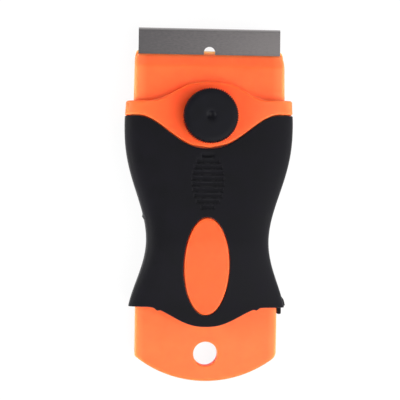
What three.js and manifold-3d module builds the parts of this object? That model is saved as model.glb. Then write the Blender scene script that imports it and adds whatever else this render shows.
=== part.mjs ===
// Glue scraper: a blade clamped between two jaws by a finger knob, in a two-shell handle with a soft grip.
// Millimetres. X runs across the tool, Y along it towards the blade, Z up out of its front face.
// The tool lies on its back. The origin is on the back face, halfway along the tool.
import * as THREE from 'three';
import { mergeVertices } from 'three/addons/utils/BufferGeometryUtils.js';
import Module from 'manifold-3d';

const wasm = await Module();
wasm.setup();

// Clearances
const SEAM = 0.1; // between the two shells, and between the two grips
const SKIN_GAP = 0.1; // between the soft grip and the shell under it
const SLIDE = 0.25; // between the nose and the collar, at each side
const SEAT = 0.1; // between a fixed piece and its seat
const BLADE_GAP = 0.05; // between the blade and each jaw
const TURN_GAP = 0.3; // round a turning or lifting piece
const THREAD_GAP = 0.12; // round a threaded shank

// Blade
const BLADE_WIDTH = 39;
const BLADE_HEIGHT = 18;
const BLADE_THICKNESS = 0.25;
const BLADE_REACH = 6.15; // past the rear lip
const GROUND_EDGE = 0.7; // width of the ground cutting edge
const CUTTING_LAND = 0.06; // thickness left at the cutting edge
const NOTCH_WIDTH = 3.1;
const NOTCH_BELOW_EDGE = 5;

// Lengths along the tool, from its tail to its rear lip
const TAIL_LENGTH = 20.8;
const GRIP_LENGTH = 52.4;
const COLLAR_LENGTH = 3.8;
const NOSE_LENGTH = 13.95;

// Nose: a rear jaw that holds the blade, and a front jaw that clamps it
const LIP_MARGIN = 0.3; // lip past each side of the blade
const CORNER_LENGTH = 3.8; // rounded corner of each lip, along the tool
const CORNER_DRAW = 0.7; // how far that corner draws in to the lip
const CORNER_BEND = 0.9; // how far behind the lip the corner bends most
const NOSE_FLARE = 0.22; // widening at each side from that corner to the collar
const LIP_SETBACK = 1.05; // front lip behind the rear one
const LIP_THICKNESS = 1;
const FRONT_TAPER = 3.4; // length of the sloped front of the clamp jaw
const REAR_TAPER = 5.4; // length of the sloped back of the blade holder
const NOSE_ROUNDING = 1.1;
const NOSE_INSERT = 6; // full-width part of the nose inside the collar
const TONGUE_WIDTH = 33;
const HOLDER_TONGUE = 9; // tongue of the blade holder below the full-width part
const JAW_TONGUE = 6.5; // tongue of the clamp jaw below the full-width part
const HOLDER_THICKNESS = 4;
const JAW_THICKNESS = 3.25;
const LUG_HEIGHT = 0.7; // lug that the blade's notch straddles
const LUG_LENGTH = 7;
const GUIDE_DIAMETER = 3;
const GUIDE_HEIGHT = 2;
const GUIDE_SPACING = 25;

// Handle
const COLLAR_WALL = 1.8;
const SHOULDER_SWELL = 0.3; // shoulder past the collar, at each side
const SHOULDER_DROP = 2.3; // shoulder below the grip's top edge
const WAIST_WIDTH = 33.5;
const WAIST_RISE = 18; // waist above the grip's bottom edge
const FLARE_WIDTH = 42.8;
const BELLY = 1.22; // how long the side keeps its shoulder width, as a power of the share of the way
const FLARE_TURN = 0.8; // share of a half wave that the side runs through from waist to flare
const PARTING = 6.8; // height of the parting plane over the back
const PALM_RISE = 0.5; // front of the grip at the waist over the lens
const SKIRT_FALL = 2.2; // front of the grip at its bottom edge under the lens
const BACK_TRIM = 0.2; // how much of the back's curve the flat back takes off
const SECTION_POWER = 5; // squareness of the handle's section
const GRIP_SKIN = 1.2;
const SHELL_WALL = 1.7;
const LENS_WALL = 1.8;

// Curved edges of the front, each a cosine swell between a level at the sides and one at the middle.
// A fullness above 1 keeps the swell longer near its middle level.
const LENS_ABOVE = 2.1; // lens past the knob, towards the blade
const LENS_BELOW = 1.2; // lens past the knob, towards the grip
const ARCH_HALF = 16.3;
const ARCH_FULLNESS = 1.2;
const LENS_HALF = 19.5;
const LENS_FULLNESS = 1.15;
const SKIRT_DEPTH = 5.35;
const SKIRT_HALF = 17.5;
const SKIRT_FULLNESS = 1;

// Oval window and grooves of the front grip
const OVAL_WIDTH = 12.4;
const OVAL_LENGTH = 26.65;
const OVAL_RISE = 11; // middle of the oval over the grip's bottom edge
const GROOVES = 10;
const GROOVE_PITCH = 1.55;
const GROOVE_WIDTH = 1;
const GROOVE_DEPTH = 0.4;
const GROOVE_PATCH_WIDTH = 8.8;
const GROOVE_TOP_MARGIN = 2; // uppermost groove below the lens

// Tail plate
const TAIL_WIDTH = 39.1;
const TAIL_BACK = 1.6; // back of the tail over the back of the grip
const TAIL_ARC = 31; // radius of the tail's end
const TAIL_LEFT_CORNER = 1;
const TAIL_RIGHT_CORNER = 2.6;
const TAIL_ROUNDING = 0.6;
const TAIL_THINNING = 0.7; // slope taken off each face at the end
const TAPER_BELOW_SKIRT = 0.9; // where that slope starts
const HANG_DIAMETER = 6.7;
const HANG_FROM_END = 7.6;

// Clamp
const KNOB_DIAMETER = 14.8;
const KNOB_HEIGHT = 5;
const KNOB_DROP = 4.4; // knob below the collar's edge
const KNOB_TEETH = 72;
const TOOTH_DEPTH = 0.25;
const KNOB_CHAMFER = 0.5;
const KNOB_CLEAR = 0.5; // under the knob when the jaw is clamped
const DIMPLE_DIAMETER = 2.6;
const DIMPLE_DEPTH = 0.7;
const DIMPLE_FULLNESS = 0.8; // share of that depth reached halfway in
const HUB_DIAMETER = 8.6;
const THREAD_DIAMETER = 4;
const STUD_HEAD_SIDES = 6;
const STUD_HEAD_ACROSS = 7; // corner to corner
const STUD_HEAD_HEIGHT = 2.4;
const STUD_HEAD_COVER = 1.6; // knob left over the stud's head
const NUT_ACROSS = 7;
const NUT_HEIGHT = 2.2;
const WASHER_DIAMETER = 9;
const WASHER_THICKNESS = 0.8;
const JAW_LIFT = 0.7; // lift of the clamp jaw in one turn of the knob
const LIFT_SPARE = 0.25;
const SPRING_DIAMETER = 6.6; // middle of the wire
const SPRING_WIRE = 0.5;
const SPRING_TURNS = 2.25;
const SPRING_HEIGHT = 1.9;

// Screws and posts
const SCREW_DIAMETER = 2.8;
const SCREW_LENGTH = 8.2; // under the head
const SCREW_HEAD_DIAMETER = 5.4;
const SCREW_HEAD_HEIGHT = 1.6;
const SCREW_SINK = 0.5; // head below the back of the grip
const DRIVE_SLOT = 0.7;
const DRIVE_SPAN = 3;
const DRIVE_DEPTH = 0.8;
const POST_DIAMETER = 7.2;
const UPPER_SPACING = 26;
const UPPER_BELOW_NOSE = 6.2; // upper screws below the holder's tongue
const LOWER_SPACING = 21;
const LOWER_RISE = 6.2; // lower screws above the grip's bottom edge
const END_WALL = 2.4; // shell left at the bottom of the handle's hollow
const HEEL_WALL = 1.5; // wall behind the holder's tongue

// Fineness of the curves
const RING_STEPS = 14;
const SPINE_STEPS = 22;
const HOLLOW_STEPS = 8;
const SWOOP_STEPS = 10;
const ROUND_STEPS = 16;
const FINE_STEPS = 28;

// Stations along the tool
const overall = TAIL_LENGTH + GRIP_LENGTH + COLLAR_LENGTH + NOSE_LENGTH + BLADE_REACH;
const tailEnd = -overall / 2;
const gripLow = tailEnd + TAIL_LENGTH;
const gripTop = gripLow + GRIP_LENGTH;
const collarTop = gripTop + COLLAR_LENGTH;
const rearLip = collarTop + NOSE_LENGTH;
const frontLip = rearLip - LIP_SETBACK;
const cuttingEdge = rearLip + BLADE_REACH;
const bladeHeel = cuttingEdge - BLADE_HEIGHT;
const noseShoulder = collarTop - NOSE_INSERT;
const holderHeel = noseShoulder - HOLDER_TONGUE;
const jawHeel = noseShoulder - JAW_TONGUE;
const knobY = collarTop - KNOB_DROP;
const archTop = knobY + KNOB_DIAMETER / 2 + LENS_ABOVE;
const lensLow = knobY - KNOB_DIAMETER / 2 - LENS_BELOW;
const ovalY = gripLow + OVAL_RISE;
const hangY = tailEnd + HANG_FROM_END;

// Heights over the back
const coreInset = GRIP_SKIN + SKIN_GAP;
const holderBottom = coreInset + SHELL_WALL;
const bladeSeat = holderBottom + HOLDER_THICKNESS;
const bladeBottom = bladeSeat + BLADE_GAP;
const bladeTop = bladeBottom + BLADE_THICKNESS;
const jawBottom = bladeTop + BLADE_GAP;
const jawTop = jawBottom + JAW_THICKNESS;
const roof = jawTop + JAW_LIFT + LIFT_SPARE;
const lensTop = roof + LENS_WALL;
const washerBottom = jawTop + BLADE_GAP;
const hubBottom = washerBottom + WASHER_THICKNESS + BLADE_GAP;
const knobBottom = lensTop + KNOB_CLEAR;
const knobTop = knobBottom + KNOB_HEIGHT;
const rearTop = PARTING - SEAM / 2;
const frontBottom = PARTING + SEAM / 2;

// Half-widths
const lipHalf = BLADE_WIDTH / 2 + LIP_MARGIN;
const noseHalf = lipHalf + CORNER_DRAW + NOSE_FLARE;
const collarHalf = noseHalf + SLIDE + COLLAR_WALL;
const shoulderHalf = collarHalf + SHOULDER_SWELL;
const REACH = 2 * shoulderHalf; // safely past the handle's sides
const HIGH = 2 * knobTop; // safely past its front and back

// A closed three.js shape as a solid for joining and cutting.
function solid(geometry) {
  geometry.deleteAttribute('normal');
  geometry.deleteAttribute('uv');
  const merged = mergeVertices(geometry, 1e-4);
  return new wasm.Manifold(new wasm.Mesh({
    numProp: 3,
    vertProperties: new Float32Array(merged.getAttribute('position').array),
    triVerts: new Uint32Array(merged.index.array),
  }));
}

function prism(outline, bottom, top) {
  const shape = Array.isArray(outline) ? new THREE.Shape(outline) : outline;
  const geometry = new THREE.ExtrudeGeometry(shape, {
    depth: top - bottom,
    bevelEnabled: false,
    curveSegments: FINE_STEPS / 2,
  });
  return solid(geometry.translate(0, 0, bottom));
}

// A prism with rounded rims at both ends, inside its outline.
function softPrism(outline, bottom, top, rounding) {
  const shape = Array.isArray(outline) ? new THREE.Shape(outline) : outline;
  const geometry = new THREE.ExtrudeGeometry(shape, {
    depth: top - bottom - 2 * rounding,
    bevelThickness: rounding,
    bevelSize: rounding,
    bevelOffset: -rounding,
    bevelSegments: 2,
    curveSegments: ROUND_STEPS / 2,
  });
  return solid(geometry.translate(0, 0, bottom + rounding));
}

function block(x0, x1, y0, y1, z0, z1) {
  const geometry = new THREE.BoxGeometry(x1 - x0, y1 - y0, z1 - z0);
  return solid(geometry.translate((x0 + x1) / 2, (y0 + y1) / 2, (z0 + z1) / 2));
}

function rod(diameter, x, y, bottom, top, sides = ROUND_STEPS) {
  const geometry = new THREE.CylinderGeometry(diameter / 2, diameter / 2, top - bottom, sides);
  return solid(geometry.rotateX(Math.PI / 2).translate(x, y, (bottom + top) / 2));
}

// Everything on the far side of a sloped plane through two points of the YZ plane, to the left of their line.
function slopeCut(y0, z0, y1, z1) {
  const along = new THREE.Vector2(y1 - y0, z1 - z0).normalize().multiplyScalar(REACH);
  const outline = new THREE.Shape();
  outline.moveTo(y0 - along.x, z0 - along.y);
  outline.lineTo(y1 + along.x, z1 + along.y);
  outline.lineTo(y1 + along.x - along.y, z1 + along.y + along.x);
  outline.lineTo(y0 - along.x - along.y, z0 - along.y + along.x);
  const geometry = new THREE.ExtrudeGeometry(outline, { depth: 2 * REACH, bevelEnabled: false });
  const turn = new THREE.Matrix4().makeBasis(
    new THREE.Vector3(0, 1, 0), new THREE.Vector3(0, 0, 1), new THREE.Vector3(1, 0, 0));
  return solid(geometry.translate(0, 0, -REACH).applyMatrix4(turn));
}

// A skin over rings of equally many points, closed at both ends. The rings run from the blade to the tail.
function loft(rings) {
  const outline = rings[0].map((p) => new THREE.Vector2(p.x, p.z));
  if (THREE.ShapeUtils.isClockWise(outline)) return loft(rings.map((ring) => [...ring].reverse()));
  const count = outline.length;
  const last = (rings.length - 1) * count;
  const positions = [];
  const faces = [];
  rings.forEach((ring) => ring.forEach((p) => positions.push(p.x, p.y, p.z)));
  for (let a = 0; a < last; a += 1) {
    const b = a + 1 - ((a + 1) % count === 0 ? count : 0);
    faces.push(a, b, a + count, b, b + count, a + count);
  }
  const cap = THREE.ShapeUtils.triangulateShape(outline, []);
  cap.forEach(([a, b, c]) => faces.push(a, c, b, last + a, last + b, last + c));
  const geometry = new THREE.BufferGeometry();
  geometry.setAttribute('position', new THREE.Float32BufferAttribute(positions, 3));
  geometry.setIndex(faces);
  return solid(geometry);
}

// The handle's spine: half-width, place along the tool, and height of the front.
const shoulderY = gripTop - SHOULDER_DROP;
const waistY = gripLow + WAIST_RISE;
const waistHalf = WAIST_WIDTH / 2;
const flareHalf = FLARE_WIDTH / 2;
const palmTop = lensTop + PALM_RISE;
const skirtTop = lensTop - SKIRT_FALL;
function shoulderToWaist(share) {
  const swell = (1 + Math.cos(Math.PI * share ** BELLY)) / 2;
  return new THREE.Vector3(
    THREE.MathUtils.lerp(waistHalf, shoulderHalf, swell),
    THREE.MathUtils.lerp(shoulderY, waistY, share),
    THREE.MathUtils.lerp(lensTop, palmTop, THREE.MathUtils.smoothstep(share, 0, 1)));
}
function waistToFlare(share) {
  const wave = (at) => 1 - Math.cos(Math.PI * FLARE_TURN * at);
  return new THREE.Vector3(
    THREE.MathUtils.lerp(waistHalf, flareHalf, wave(share) / wave(1)),
    THREE.MathUtils.lerp(waistY, gripLow, share),
    THREE.MathUtils.lerp(palmTop, skirtTop, THREE.MathUtils.smoothstep(share, 0, 1)));
}
const skirtShare = 1 + (SKIRT_DEPTH + SEAT) / WAIST_RISE;
const handleSpine = new THREE.CatmullRomCurve3([
  new THREE.Vector3(collarHalf, archTop + SEAT, lensTop),
  new THREE.Vector3(collarHalf, collarTop, lensTop),
  ...[0, 1 / 4, 1 / 2, 3 / 4, 1].map(shoulderToWaist),
  ...[1 / 4, 1 / 2, 3 / 4, 1, skirtShare].map(waistToFlare),
]);

// One half of the handle, front or rear of the parting plane, drawn in by an inset.
function handleHalf(front, inset, spineSteps = SPINE_STEPS, ringSteps = RING_STEPS) {
  const rings = handleSpine.getPoints(spineSteps).map((station) => {
    const half = station.x - inset;
    const rise = front ? station.z - frontBottom - inset : -(rearTop + BACK_TRIM - inset);
    const base = front ? frontBottom : rearTop;
    const ring = [];
    for (let i = 0; i <= ringSteps; i += 1) {
      const angle = (Math.PI * i) / ringSteps;
      const across = Math.cos(angle);
      const up = Math.sin(angle);
      const x = half * Math.sign(across) * Math.abs(across) ** (2 / SECTION_POWER);
      const z = base + rise * Math.abs(up) ** (2 / SECTION_POWER);
      ring.push(new THREE.Vector3(x, station.y, z));
    }
    return ring;
  });
  const body = loft(rings);
  return front ? body : body.intersect(block(-REACH, REACH, -overall, overall, inset, rearTop));
}

// An edge across the tool, level at the sides, that swells smoothly to another level at the middle.
function swoop(side, middle, half, fullness) {
  const points = [new THREE.Vector2(-REACH, side)];
  for (let i = -SWOOP_STEPS; i <= SWOOP_STEPS; i += 1) {
    const way = Math.abs(i / SWOOP_STEPS) ** fullness;
    const share = (1 + Math.cos(Math.PI * way)) / 2;
    points.push(new THREE.Vector2((half * i) / SWOOP_STEPS, side + (middle - side) * share));
  }
  points.push(new THREE.Vector2(REACH, side));
  return points;
}

function band(lower, upper) {
  return prism([...lower, ...[...upper].reverse()], -HIGH, HIGH);
}

const skirtLow = gripLow - SKIRT_DEPTH;
const lensEdge = (shift) => swoop(gripTop + shift, lensLow + shift, LENS_HALF, LENS_FULLNESS);
const skirtEdge = (shift) => swoop(gripLow + shift, skirtLow + shift, SKIRT_HALF, SKIRT_FULLNESS);
const archEdge = swoop(collarTop, archTop, ARCH_HALF, ARCH_FULLNESS);
const levelEdge = (y) => [new THREE.Vector2(-REACH, y), new THREE.Vector2(REACH, y)];

function oval(grow) {
  const shape = new THREE.Shape();
  shape.absellipse(0, ovalY, OVAL_WIDTH / 2 + grow, OVAL_LENGTH / 2 + grow, 0, 2 * Math.PI);
  return shape;
}

// Blank of a nose piece, with soft rims: a lip with rounded corners, flared sides, shoulders and a tongue.
function noseBlank(lip, heel, bottom, top) {
  const cornerHalf = lipHalf + CORNER_DRAW;
  const tongue = TONGUE_WIDTH / 2;
  const square = [new THREE.Vector2(cornerHalf, lip)];
  const rounded = new THREE.QuadraticBezierCurve(
    new THREE.Vector2(lipHalf, lip),
    new THREE.Vector2(cornerHalf, lip - CORNER_BEND),
    new THREE.Vector2(cornerHalf, lip - CORNER_LENGTH)).getPoints(SWOOP_STEPS / 2);
  const outline = (corner) => {
    const right = [
      ...corner,
      new THREE.Vector2(noseHalf, noseShoulder),
      new THREE.Vector2(tongue, noseShoulder),
      new THREE.Vector2(tongue, heel),
    ];
    const left = right.map((p) => new THREE.Vector2(-p.x, p.y)).reverse();
    return [...left, ...right];
  };
  return softPrism(outline(square), bottom, top, NOSE_ROUNDING)
    .intersect(prism(outline(rounded), bottom, top));
}

// Room for the nose inside the collar, open towards the blade.
function noseRoom(bottom, top) {
  const half = noseHalf + SLIDE;
  const tongue = TONGUE_WIDTH / 2 + SLIDE;
  const outline = [
    new THREE.Vector2(-half, cuttingEdge),
    new THREE.Vector2(-half, noseShoulder - SLIDE),
    new THREE.Vector2(-tongue, noseShoulder - SLIDE),
    new THREE.Vector2(-tongue, holderHeel - SEAT),
    new THREE.Vector2(tongue, holderHeel - SEAT),
    new THREE.Vector2(tongue, noseShoulder - SLIDE),
    new THREE.Vector2(half, noseShoulder - SLIDE),
    new THREE.Vector2(half, cuttingEdge),
  ];
  return prism(outline, bottom, top);
}

// Screw places
const upperY = holderHeel - UPPER_BELOW_NOSE;
const lowerY = gripLow + LOWER_RISE;
const screwPlaces = [
  [-UPPER_SPACING / 2, upperY],
  [UPPER_SPACING / 2, upperY],
  [-LOWER_SPACING / 2, lowerY],
  [LOWER_SPACING / 2, lowerY],
];
const headSeat = SCREW_SINK + SCREW_HEAD_HEIGHT;
const screwTip = headSeat + SCREW_LENGTH;
const wellDiameter = SCREW_HEAD_DIAMETER + 2 * TURN_GAP;

// The hollow of the lower handle, in one half.
function hollow(front) {
  const inside = handleHalf(front, coreInset + SHELL_WALL, HOLLOW_STEPS, HOLLOW_STEPS);
  const length = block(-REACH, REACH, gripLow + END_WALL, holderHeel - SEAT - HEEL_WALL, -HIGH, HIGH);
  return inside.intersect(length);
}

function makeFrontShell() {
  const outer = handleHalf(true, 0);
  const core = handleHalf(true, coreInset).intersect(band(skirtEdge(coreInset), archEdge));
  const collar = outer.intersect(band(lensEdge(0), archEdge));
  const boss = outer.intersect(prism(oval(0), -HIGH, HIGH));
  const hub = rod(WASHER_DIAMETER + 2 * TURN_GAP, 0, knobY, -HIGH, HIGH, FINE_STEPS);
  const bossRoot = handleHalf(true, coreInset + SHELL_WALL, HOLLOW_STEPS, HOLLOW_STEPS);
  let shell = core.add(collar).subtract(hollow(true)).add(boss.subtract(bossRoot));
  screwPlaces.forEach(([x, y]) => {
    shell = shell.add(rod(POST_DIAMETER, x, y, frontBottom, HIGH).intersect(handleHalf(true, coreInset)));
    shell = shell.subtract(rod(SCREW_DIAMETER + 2 * THREAD_GAP, x, y, -HIGH, screwTip + SEAT));
  });
  return shell.subtract(noseRoom(-HIGH, roof)).subtract(hub);
}

function tailOutline() {
  const half = TAIL_WIDTH / 2;
  const arcCentre = tailEnd + TAIL_ARC;
  const corner = (radius) => {
    const x = half - radius;
    const y = arcCentre - Math.sqrt((TAIL_ARC - radius) ** 2 - x ** 2);
    return { x, y, radius, turn: Math.atan2(y - arcCentre, x) };
  };
  const left = corner(TAIL_LEFT_CORNER);
  const right = corner(TAIL_RIGHT_CORNER);
  const shape = new THREE.Shape();
  shape.moveTo(half, gripLow + END_WALL);
  shape.lineTo(-half, gripLow + END_WALL);
  shape.lineTo(-half, left.y);
  shape.absarc(-left.x, left.y, left.radius, Math.PI, Math.PI - left.turn, false);
  shape.absarc(0, arcCentre, TAIL_ARC, -Math.PI - left.turn, right.turn, false);
  shape.absarc(right.x, right.y, right.radius, right.turn, 0, false);
  const hole = new THREE.Path();
  hole.absarc(0, hangY, HANG_DIAMETER / 2, 0, 2 * Math.PI, true);
  shape.holes.push(hole);
  return shape;
}

function makeTail() {
  const slopeStart = skirtLow - TAPER_BELOW_SKIRT;
  return softPrism(tailOutline(), TAIL_BACK, rearTop, TAIL_ROUNDING)
    .subtract(slopeCut(tailEnd, rearTop - TAIL_THINNING, slopeStart, rearTop))
    .subtract(slopeCut(slopeStart, TAIL_BACK, tailEnd, TAIL_BACK + TAIL_THINNING));
}

const pegPlaces = [-1, 1].map((side) => [(side * TONGUE_WIDTH) / 4, (holderHeel + jawHeel) / 2]);

function makeRearShell() {
  const outer = handleHalf(false, 0);
  const core = handleHalf(false, coreInset).intersect(band(skirtEdge(coreInset), levelEdge(collarTop)));
  const collar = outer.intersect(band(levelEdge(gripTop), levelEdge(collarTop)));
  let shell = core.add(collar).add(makeTail()).subtract(hollow(false));
  shell = shell.subtract(noseRoom(holderBottom - SEAT, HIGH));
  screwPlaces.forEach(([x, y]) => {
    shell = shell.add(rod(POST_DIAMETER, x, y, -HIGH, rearTop).intersect(handleHalf(false, coreInset)));
    shell = shell.subtract(rod(wellDiameter, x, y, -HIGH, headSeat));
    shell = shell.subtract(rod(SCREW_DIAMETER + 2 * TURN_GAP, x, y, -HIGH, HIGH));
  });
  pegPlaces.forEach(([x, y]) => {
    shell = shell.add(rod(GUIDE_DIAMETER, x, y, coreInset + SEAT, holderBottom + GUIDE_HEIGHT));
  });
  return shell;
}

function makeFrontGrip() {
  const core = handleHalf(true, GRIP_SKIN).intersect(band(skirtEdge(GRIP_SKIN), levelEdge(cuttingEdge)));
  let grip = handleHalf(true, 0).intersect(band(skirtEdge(0), lensEdge(-SKIN_GAP)));
  grip = grip.subtract(core).subtract(noseRoom(-HIGH, roof)).subtract(prism(oval(SKIN_GAP), -HIGH, HIGH));
  const patchTop = lensLow - GROOVE_TOP_MARGIN;
  const patchHalf = (GROOVES * GROOVE_PITCH) / 2;
  for (let i = 0; i < GROOVES; i += 1) {
    const y = patchTop - i * GROOVE_PITCH;
    const share = (patchTop - y + GROOVE_PITCH / 2) / patchHalf - 1;
    const half = (GROOVE_PATCH_WIDTH / 2) * Math.sqrt(1 - share ** 2);
    const floor = handleHalf(true, GROOVE_DEPTH);
    const groove = block(-half, half, y - GROOVE_WIDTH / 2, y + GROOVE_WIDTH / 2, frontBottom, HIGH);
    grip = grip.subtract(groove.subtract(floor));
  }
  return grip;
}

function makeRearGrip() {
  const core = handleHalf(false, GRIP_SKIN).intersect(band(skirtEdge(GRIP_SKIN), levelEdge(cuttingEdge)));
  let grip = handleHalf(false, 0).intersect(band(skirtEdge(0), levelEdge(gripTop - SKIN_GAP))).subtract(core);
  grip = grip.subtract(softPrism(tailOutline(), TAIL_BACK - SKIN_GAP, HIGH, TAIL_ROUNDING));
  screwPlaces.forEach(([x, y]) => {
    grip = grip.subtract(rod(wellDiameter, x, y, -HIGH, HIGH));
  });
  return grip;
}

const guidePlaces = [-1, 1].map((side) => [(side * GUIDE_SPACING) / 2, (noseShoulder + jawHeel) / 2]);

function makeBladeHolder() {
  const padTop = jawBottom - BLADE_GAP;
  let holder = noseBlank(rearLip, holderHeel, holderBottom, HIGH);
  holder = holder.subtract(block(-REACH, REACH, bladeHeel - BLADE_GAP, cuttingEdge, bladeSeat, 2 * HIGH));
  holder = holder.subtract(block(-REACH, REACH, -overall, cuttingEdge, padTop, 2 * HIGH));
  holder = holder.subtract(
    slopeCut(rearLip, bladeSeat - LIP_THICKNESS, rearLip - REAR_TAPER, holderBottom));
  const lugHalf = NOTCH_WIDTH / 2 - SLIDE;
  const lugLow = bladeHeel + SEAT;
  holder = holder.add(block(-lugHalf, lugHalf, lugLow, lugLow + LUG_LENGTH, holderBottom + NOSE_ROUNDING,
    bladeSeat + LUG_HEIGHT));
  guidePlaces.forEach(([x, y]) => {
    holder = holder.add(rod(GUIDE_DIAMETER, x, y, holderBottom + SEAT, padTop + GUIDE_HEIGHT));
  });
  pegPlaces.forEach(([x, y]) => {
    holder = holder.subtract(rod(GUIDE_DIAMETER + 2 * SEAT, x, y, -HIGH, holderBottom + GUIDE_HEIGHT + SEAT));
  });
  const nutHalf = NUT_ACROSS / 2 + SEAT;
  holder = holder.subtract(
    block(-nutHalf, nutHalf, knobY - nutHalf, knobY + nutHalf, -HIGH, holderBottom + NUT_HEIGHT + SEAT));
  return holder.subtract(rod(THREAD_DIAMETER + 2 * TURN_GAP, 0, knobY, -HIGH, HIGH));
}

function makeClampJaw() {
  let jaw = noseBlank(frontLip, jawHeel, -HIGH, jawTop);
  jaw = jaw.subtract(block(-REACH, REACH, -overall, overall, -2 * HIGH, jawBottom));
  jaw = jaw.subtract(slopeCut(frontLip - FRONT_TAPER, jawTop, frontLip, jawBottom + LIP_THICKNESS));
  const grooveHalf = NOTCH_WIDTH / 2;
  const grooveTop = bladeHeel + SEAT + LUG_LENGTH + TURN_GAP;
  const grooveRoof = bladeSeat + LUG_HEIGHT + TURN_GAP;
  jaw = jaw.subtract(
    block(-grooveHalf, grooveHalf, bladeHeel - TURN_GAP, grooveTop, -HIGH, grooveRoof));
  guidePlaces.forEach(([x, y]) => {
    const top = jawBottom + GUIDE_HEIGHT + TURN_GAP;
    jaw = jaw.subtract(rod(GUIDE_DIAMETER + 2 * TURN_GAP, x, y, -HIGH, top));
  });
  const recess = SPRING_DIAMETER + SPRING_WIRE + 2 * TURN_GAP;
  jaw = jaw.subtract(rod(recess, 0, knobY, -HIGH, jawBottom + SPRING_HEIGHT, FINE_STEPS));
  return jaw.subtract(rod(THREAD_DIAMETER + 2 * TURN_GAP, 0, knobY, -HIGH, HIGH));
}

function makeBlade() {
  const half = BLADE_WIDTH / 2;
  const notchHalf = NOTCH_WIDTH / 2;
  const notchY = cuttingEdge - NOTCH_BELOW_EDGE - notchHalf;
  const shape = new THREE.Shape();
  shape.moveTo(-half, bladeHeel);
  shape.lineTo(-notchHalf, bladeHeel);
  shape.lineTo(-notchHalf, notchY);
  shape.absarc(0, notchY, notchHalf, Math.PI, 0, true);
  shape.lineTo(notchHalf, bladeHeel);
  shape.lineTo(half, bladeHeel);
  shape.lineTo(half, cuttingEdge);
  shape.lineTo(-half, cuttingEdge);
  const ground = cuttingEdge - GROUND_EDGE;
  return prism(shape, bladeBottom, bladeTop)
    .subtract(slopeCut(ground, bladeTop, cuttingEdge, bladeBottom + CUTTING_LAND));
}

function makeKnob() {
  const rim = [];
  for (let i = 0; i < 2 * KNOB_TEETH; i += 1) {
    const angle = (Math.PI * i) / KNOB_TEETH;
    const radius = KNOB_DIAMETER / 2 - (i % 2) * TOOTH_DEPTH;
    rim.push(new THREE.Vector2(radius * Math.cos(angle), knobY + radius * Math.sin(angle)));
  }
  const face = KNOB_DIAMETER / 2 - KNOB_CHAMFER;
  const dimple = DIMPLE_DIAMETER / 2;
  const profile = [
    new THREE.Vector2(0, hubBottom),
    new THREE.Vector2(HUB_DIAMETER / 2, hubBottom),
    new THREE.Vector2(HUB_DIAMETER / 2, knobBottom),
    new THREE.Vector2(KNOB_DIAMETER / 2 + SEAT, knobBottom),
    new THREE.Vector2(KNOB_DIAMETER / 2 + SEAT, knobTop - KNOB_CHAMFER - SEAT),
    new THREE.Vector2(face, knobTop),
    new THREE.Vector2(dimple, knobTop),
    new THREE.Vector2(dimple / 2, knobTop - DIMPLE_DEPTH * DIMPLE_FULLNESS),
    new THREE.Vector2(0, knobTop - DIMPLE_DEPTH),
  ];
  const lathe = new THREE.LatheGeometry(profile, FINE_STEPS);
  const turned = solid(lathe.rotateX(Math.PI / 2).translate(0, knobY, 0));
  const headTop = knobTop - STUD_HEAD_COVER;
  const headBottom = headTop - STUD_HEAD_HEIGHT - 2 * SEAT;
  return turned.intersect(prism(rim, -HIGH, HIGH))
    .subtract(rod(STUD_HEAD_ACROSS + 2 * SEAT, 0, knobY, headBottom, headTop, STUD_HEAD_SIDES))
    .subtract(rod(THREAD_DIAMETER + 2 * SEAT, 0, knobY, -HIGH, headTop));
}

function makeClampStud() {
  const headTop = knobTop - STUD_HEAD_COVER - SEAT;
  const foot = holderBottom - SEAT / 2;
  return rod(STUD_HEAD_ACROSS, 0, knobY, headTop - STUD_HEAD_HEIGHT, headTop, STUD_HEAD_SIDES)
    .add(rod(THREAD_DIAMETER, 0, knobY, foot, headTop));
}

function makeThrustWasher() {
  const ring = rod(WASHER_DIAMETER, 0, knobY, washerBottom, washerBottom + WASHER_THICKNESS, FINE_STEPS);
  return ring.subtract(rod(THREAD_DIAMETER + 2 * TURN_GAP, 0, knobY, -HIGH, HIGH));
}

function makeClampNut() {
  const half = NUT_ACROSS / 2;
  return block(-half, half, knobY - half, knobY + half, holderBottom, holderBottom + NUT_HEIGHT)
    .subtract(rod(THREAD_DIAMETER + 2 * THREAD_GAP, 0, knobY, -HIGH, HIGH));
}

class Helix extends THREE.Curve {
  constructor(diameter, turns, bottom, top) {
    super();
    Object.assign(this, { diameter, turns, bottom, top });
  }

  getPoint(share) {
    const angle = 2 * Math.PI * this.turns * share;
    const radius = this.diameter / 2;
    const z = this.bottom + (this.top - this.bottom) * share;
    return new THREE.Vector3(radius * Math.cos(angle), knobY + radius * Math.sin(angle), z);
  }
}

function makeJawSpring() {
  const bottom = jawBottom + SPRING_WIRE / 2;
  const top = jawBottom + SPRING_HEIGHT - BLADE_GAP - SPRING_WIRE / 2;
  const wire = new THREE.Shape().absarc(0, 0, SPRING_WIRE / 2, 0, 2 * Math.PI);
  return solid(new THREE.ExtrudeGeometry(wire, {
    steps: Math.round(SPRING_TURNS * SWOOP_STEPS),
    curveSegments: 3,
    extrudePath: new Helix(SPRING_DIAMETER, SPRING_TURNS, bottom, top),
  }));
}

function makeScrew([x, y]) {
  const slotHalf = DRIVE_SLOT / 2;
  const spanHalf = DRIVE_SPAN / 2;
  const slotTop = SCREW_SINK + DRIVE_DEPTH;
  const slot = block(x - slotHalf, x + slotHalf, y - spanHalf, y + spanHalf, -HIGH, slotTop);
  const crossSlot = block(x - spanHalf, x + spanHalf, y - slotHalf, y + slotHalf, -HIGH, slotTop);
  return rod(SCREW_HEAD_DIAMETER, x, y, SCREW_SINK, headSeat - SEAT)
    .add(rod(SCREW_DIAMETER, x, y, SCREW_SINK + DRIVE_DEPTH, screwTip))
    .subtract(slot)
    .subtract(crossSlot);
}

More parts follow.
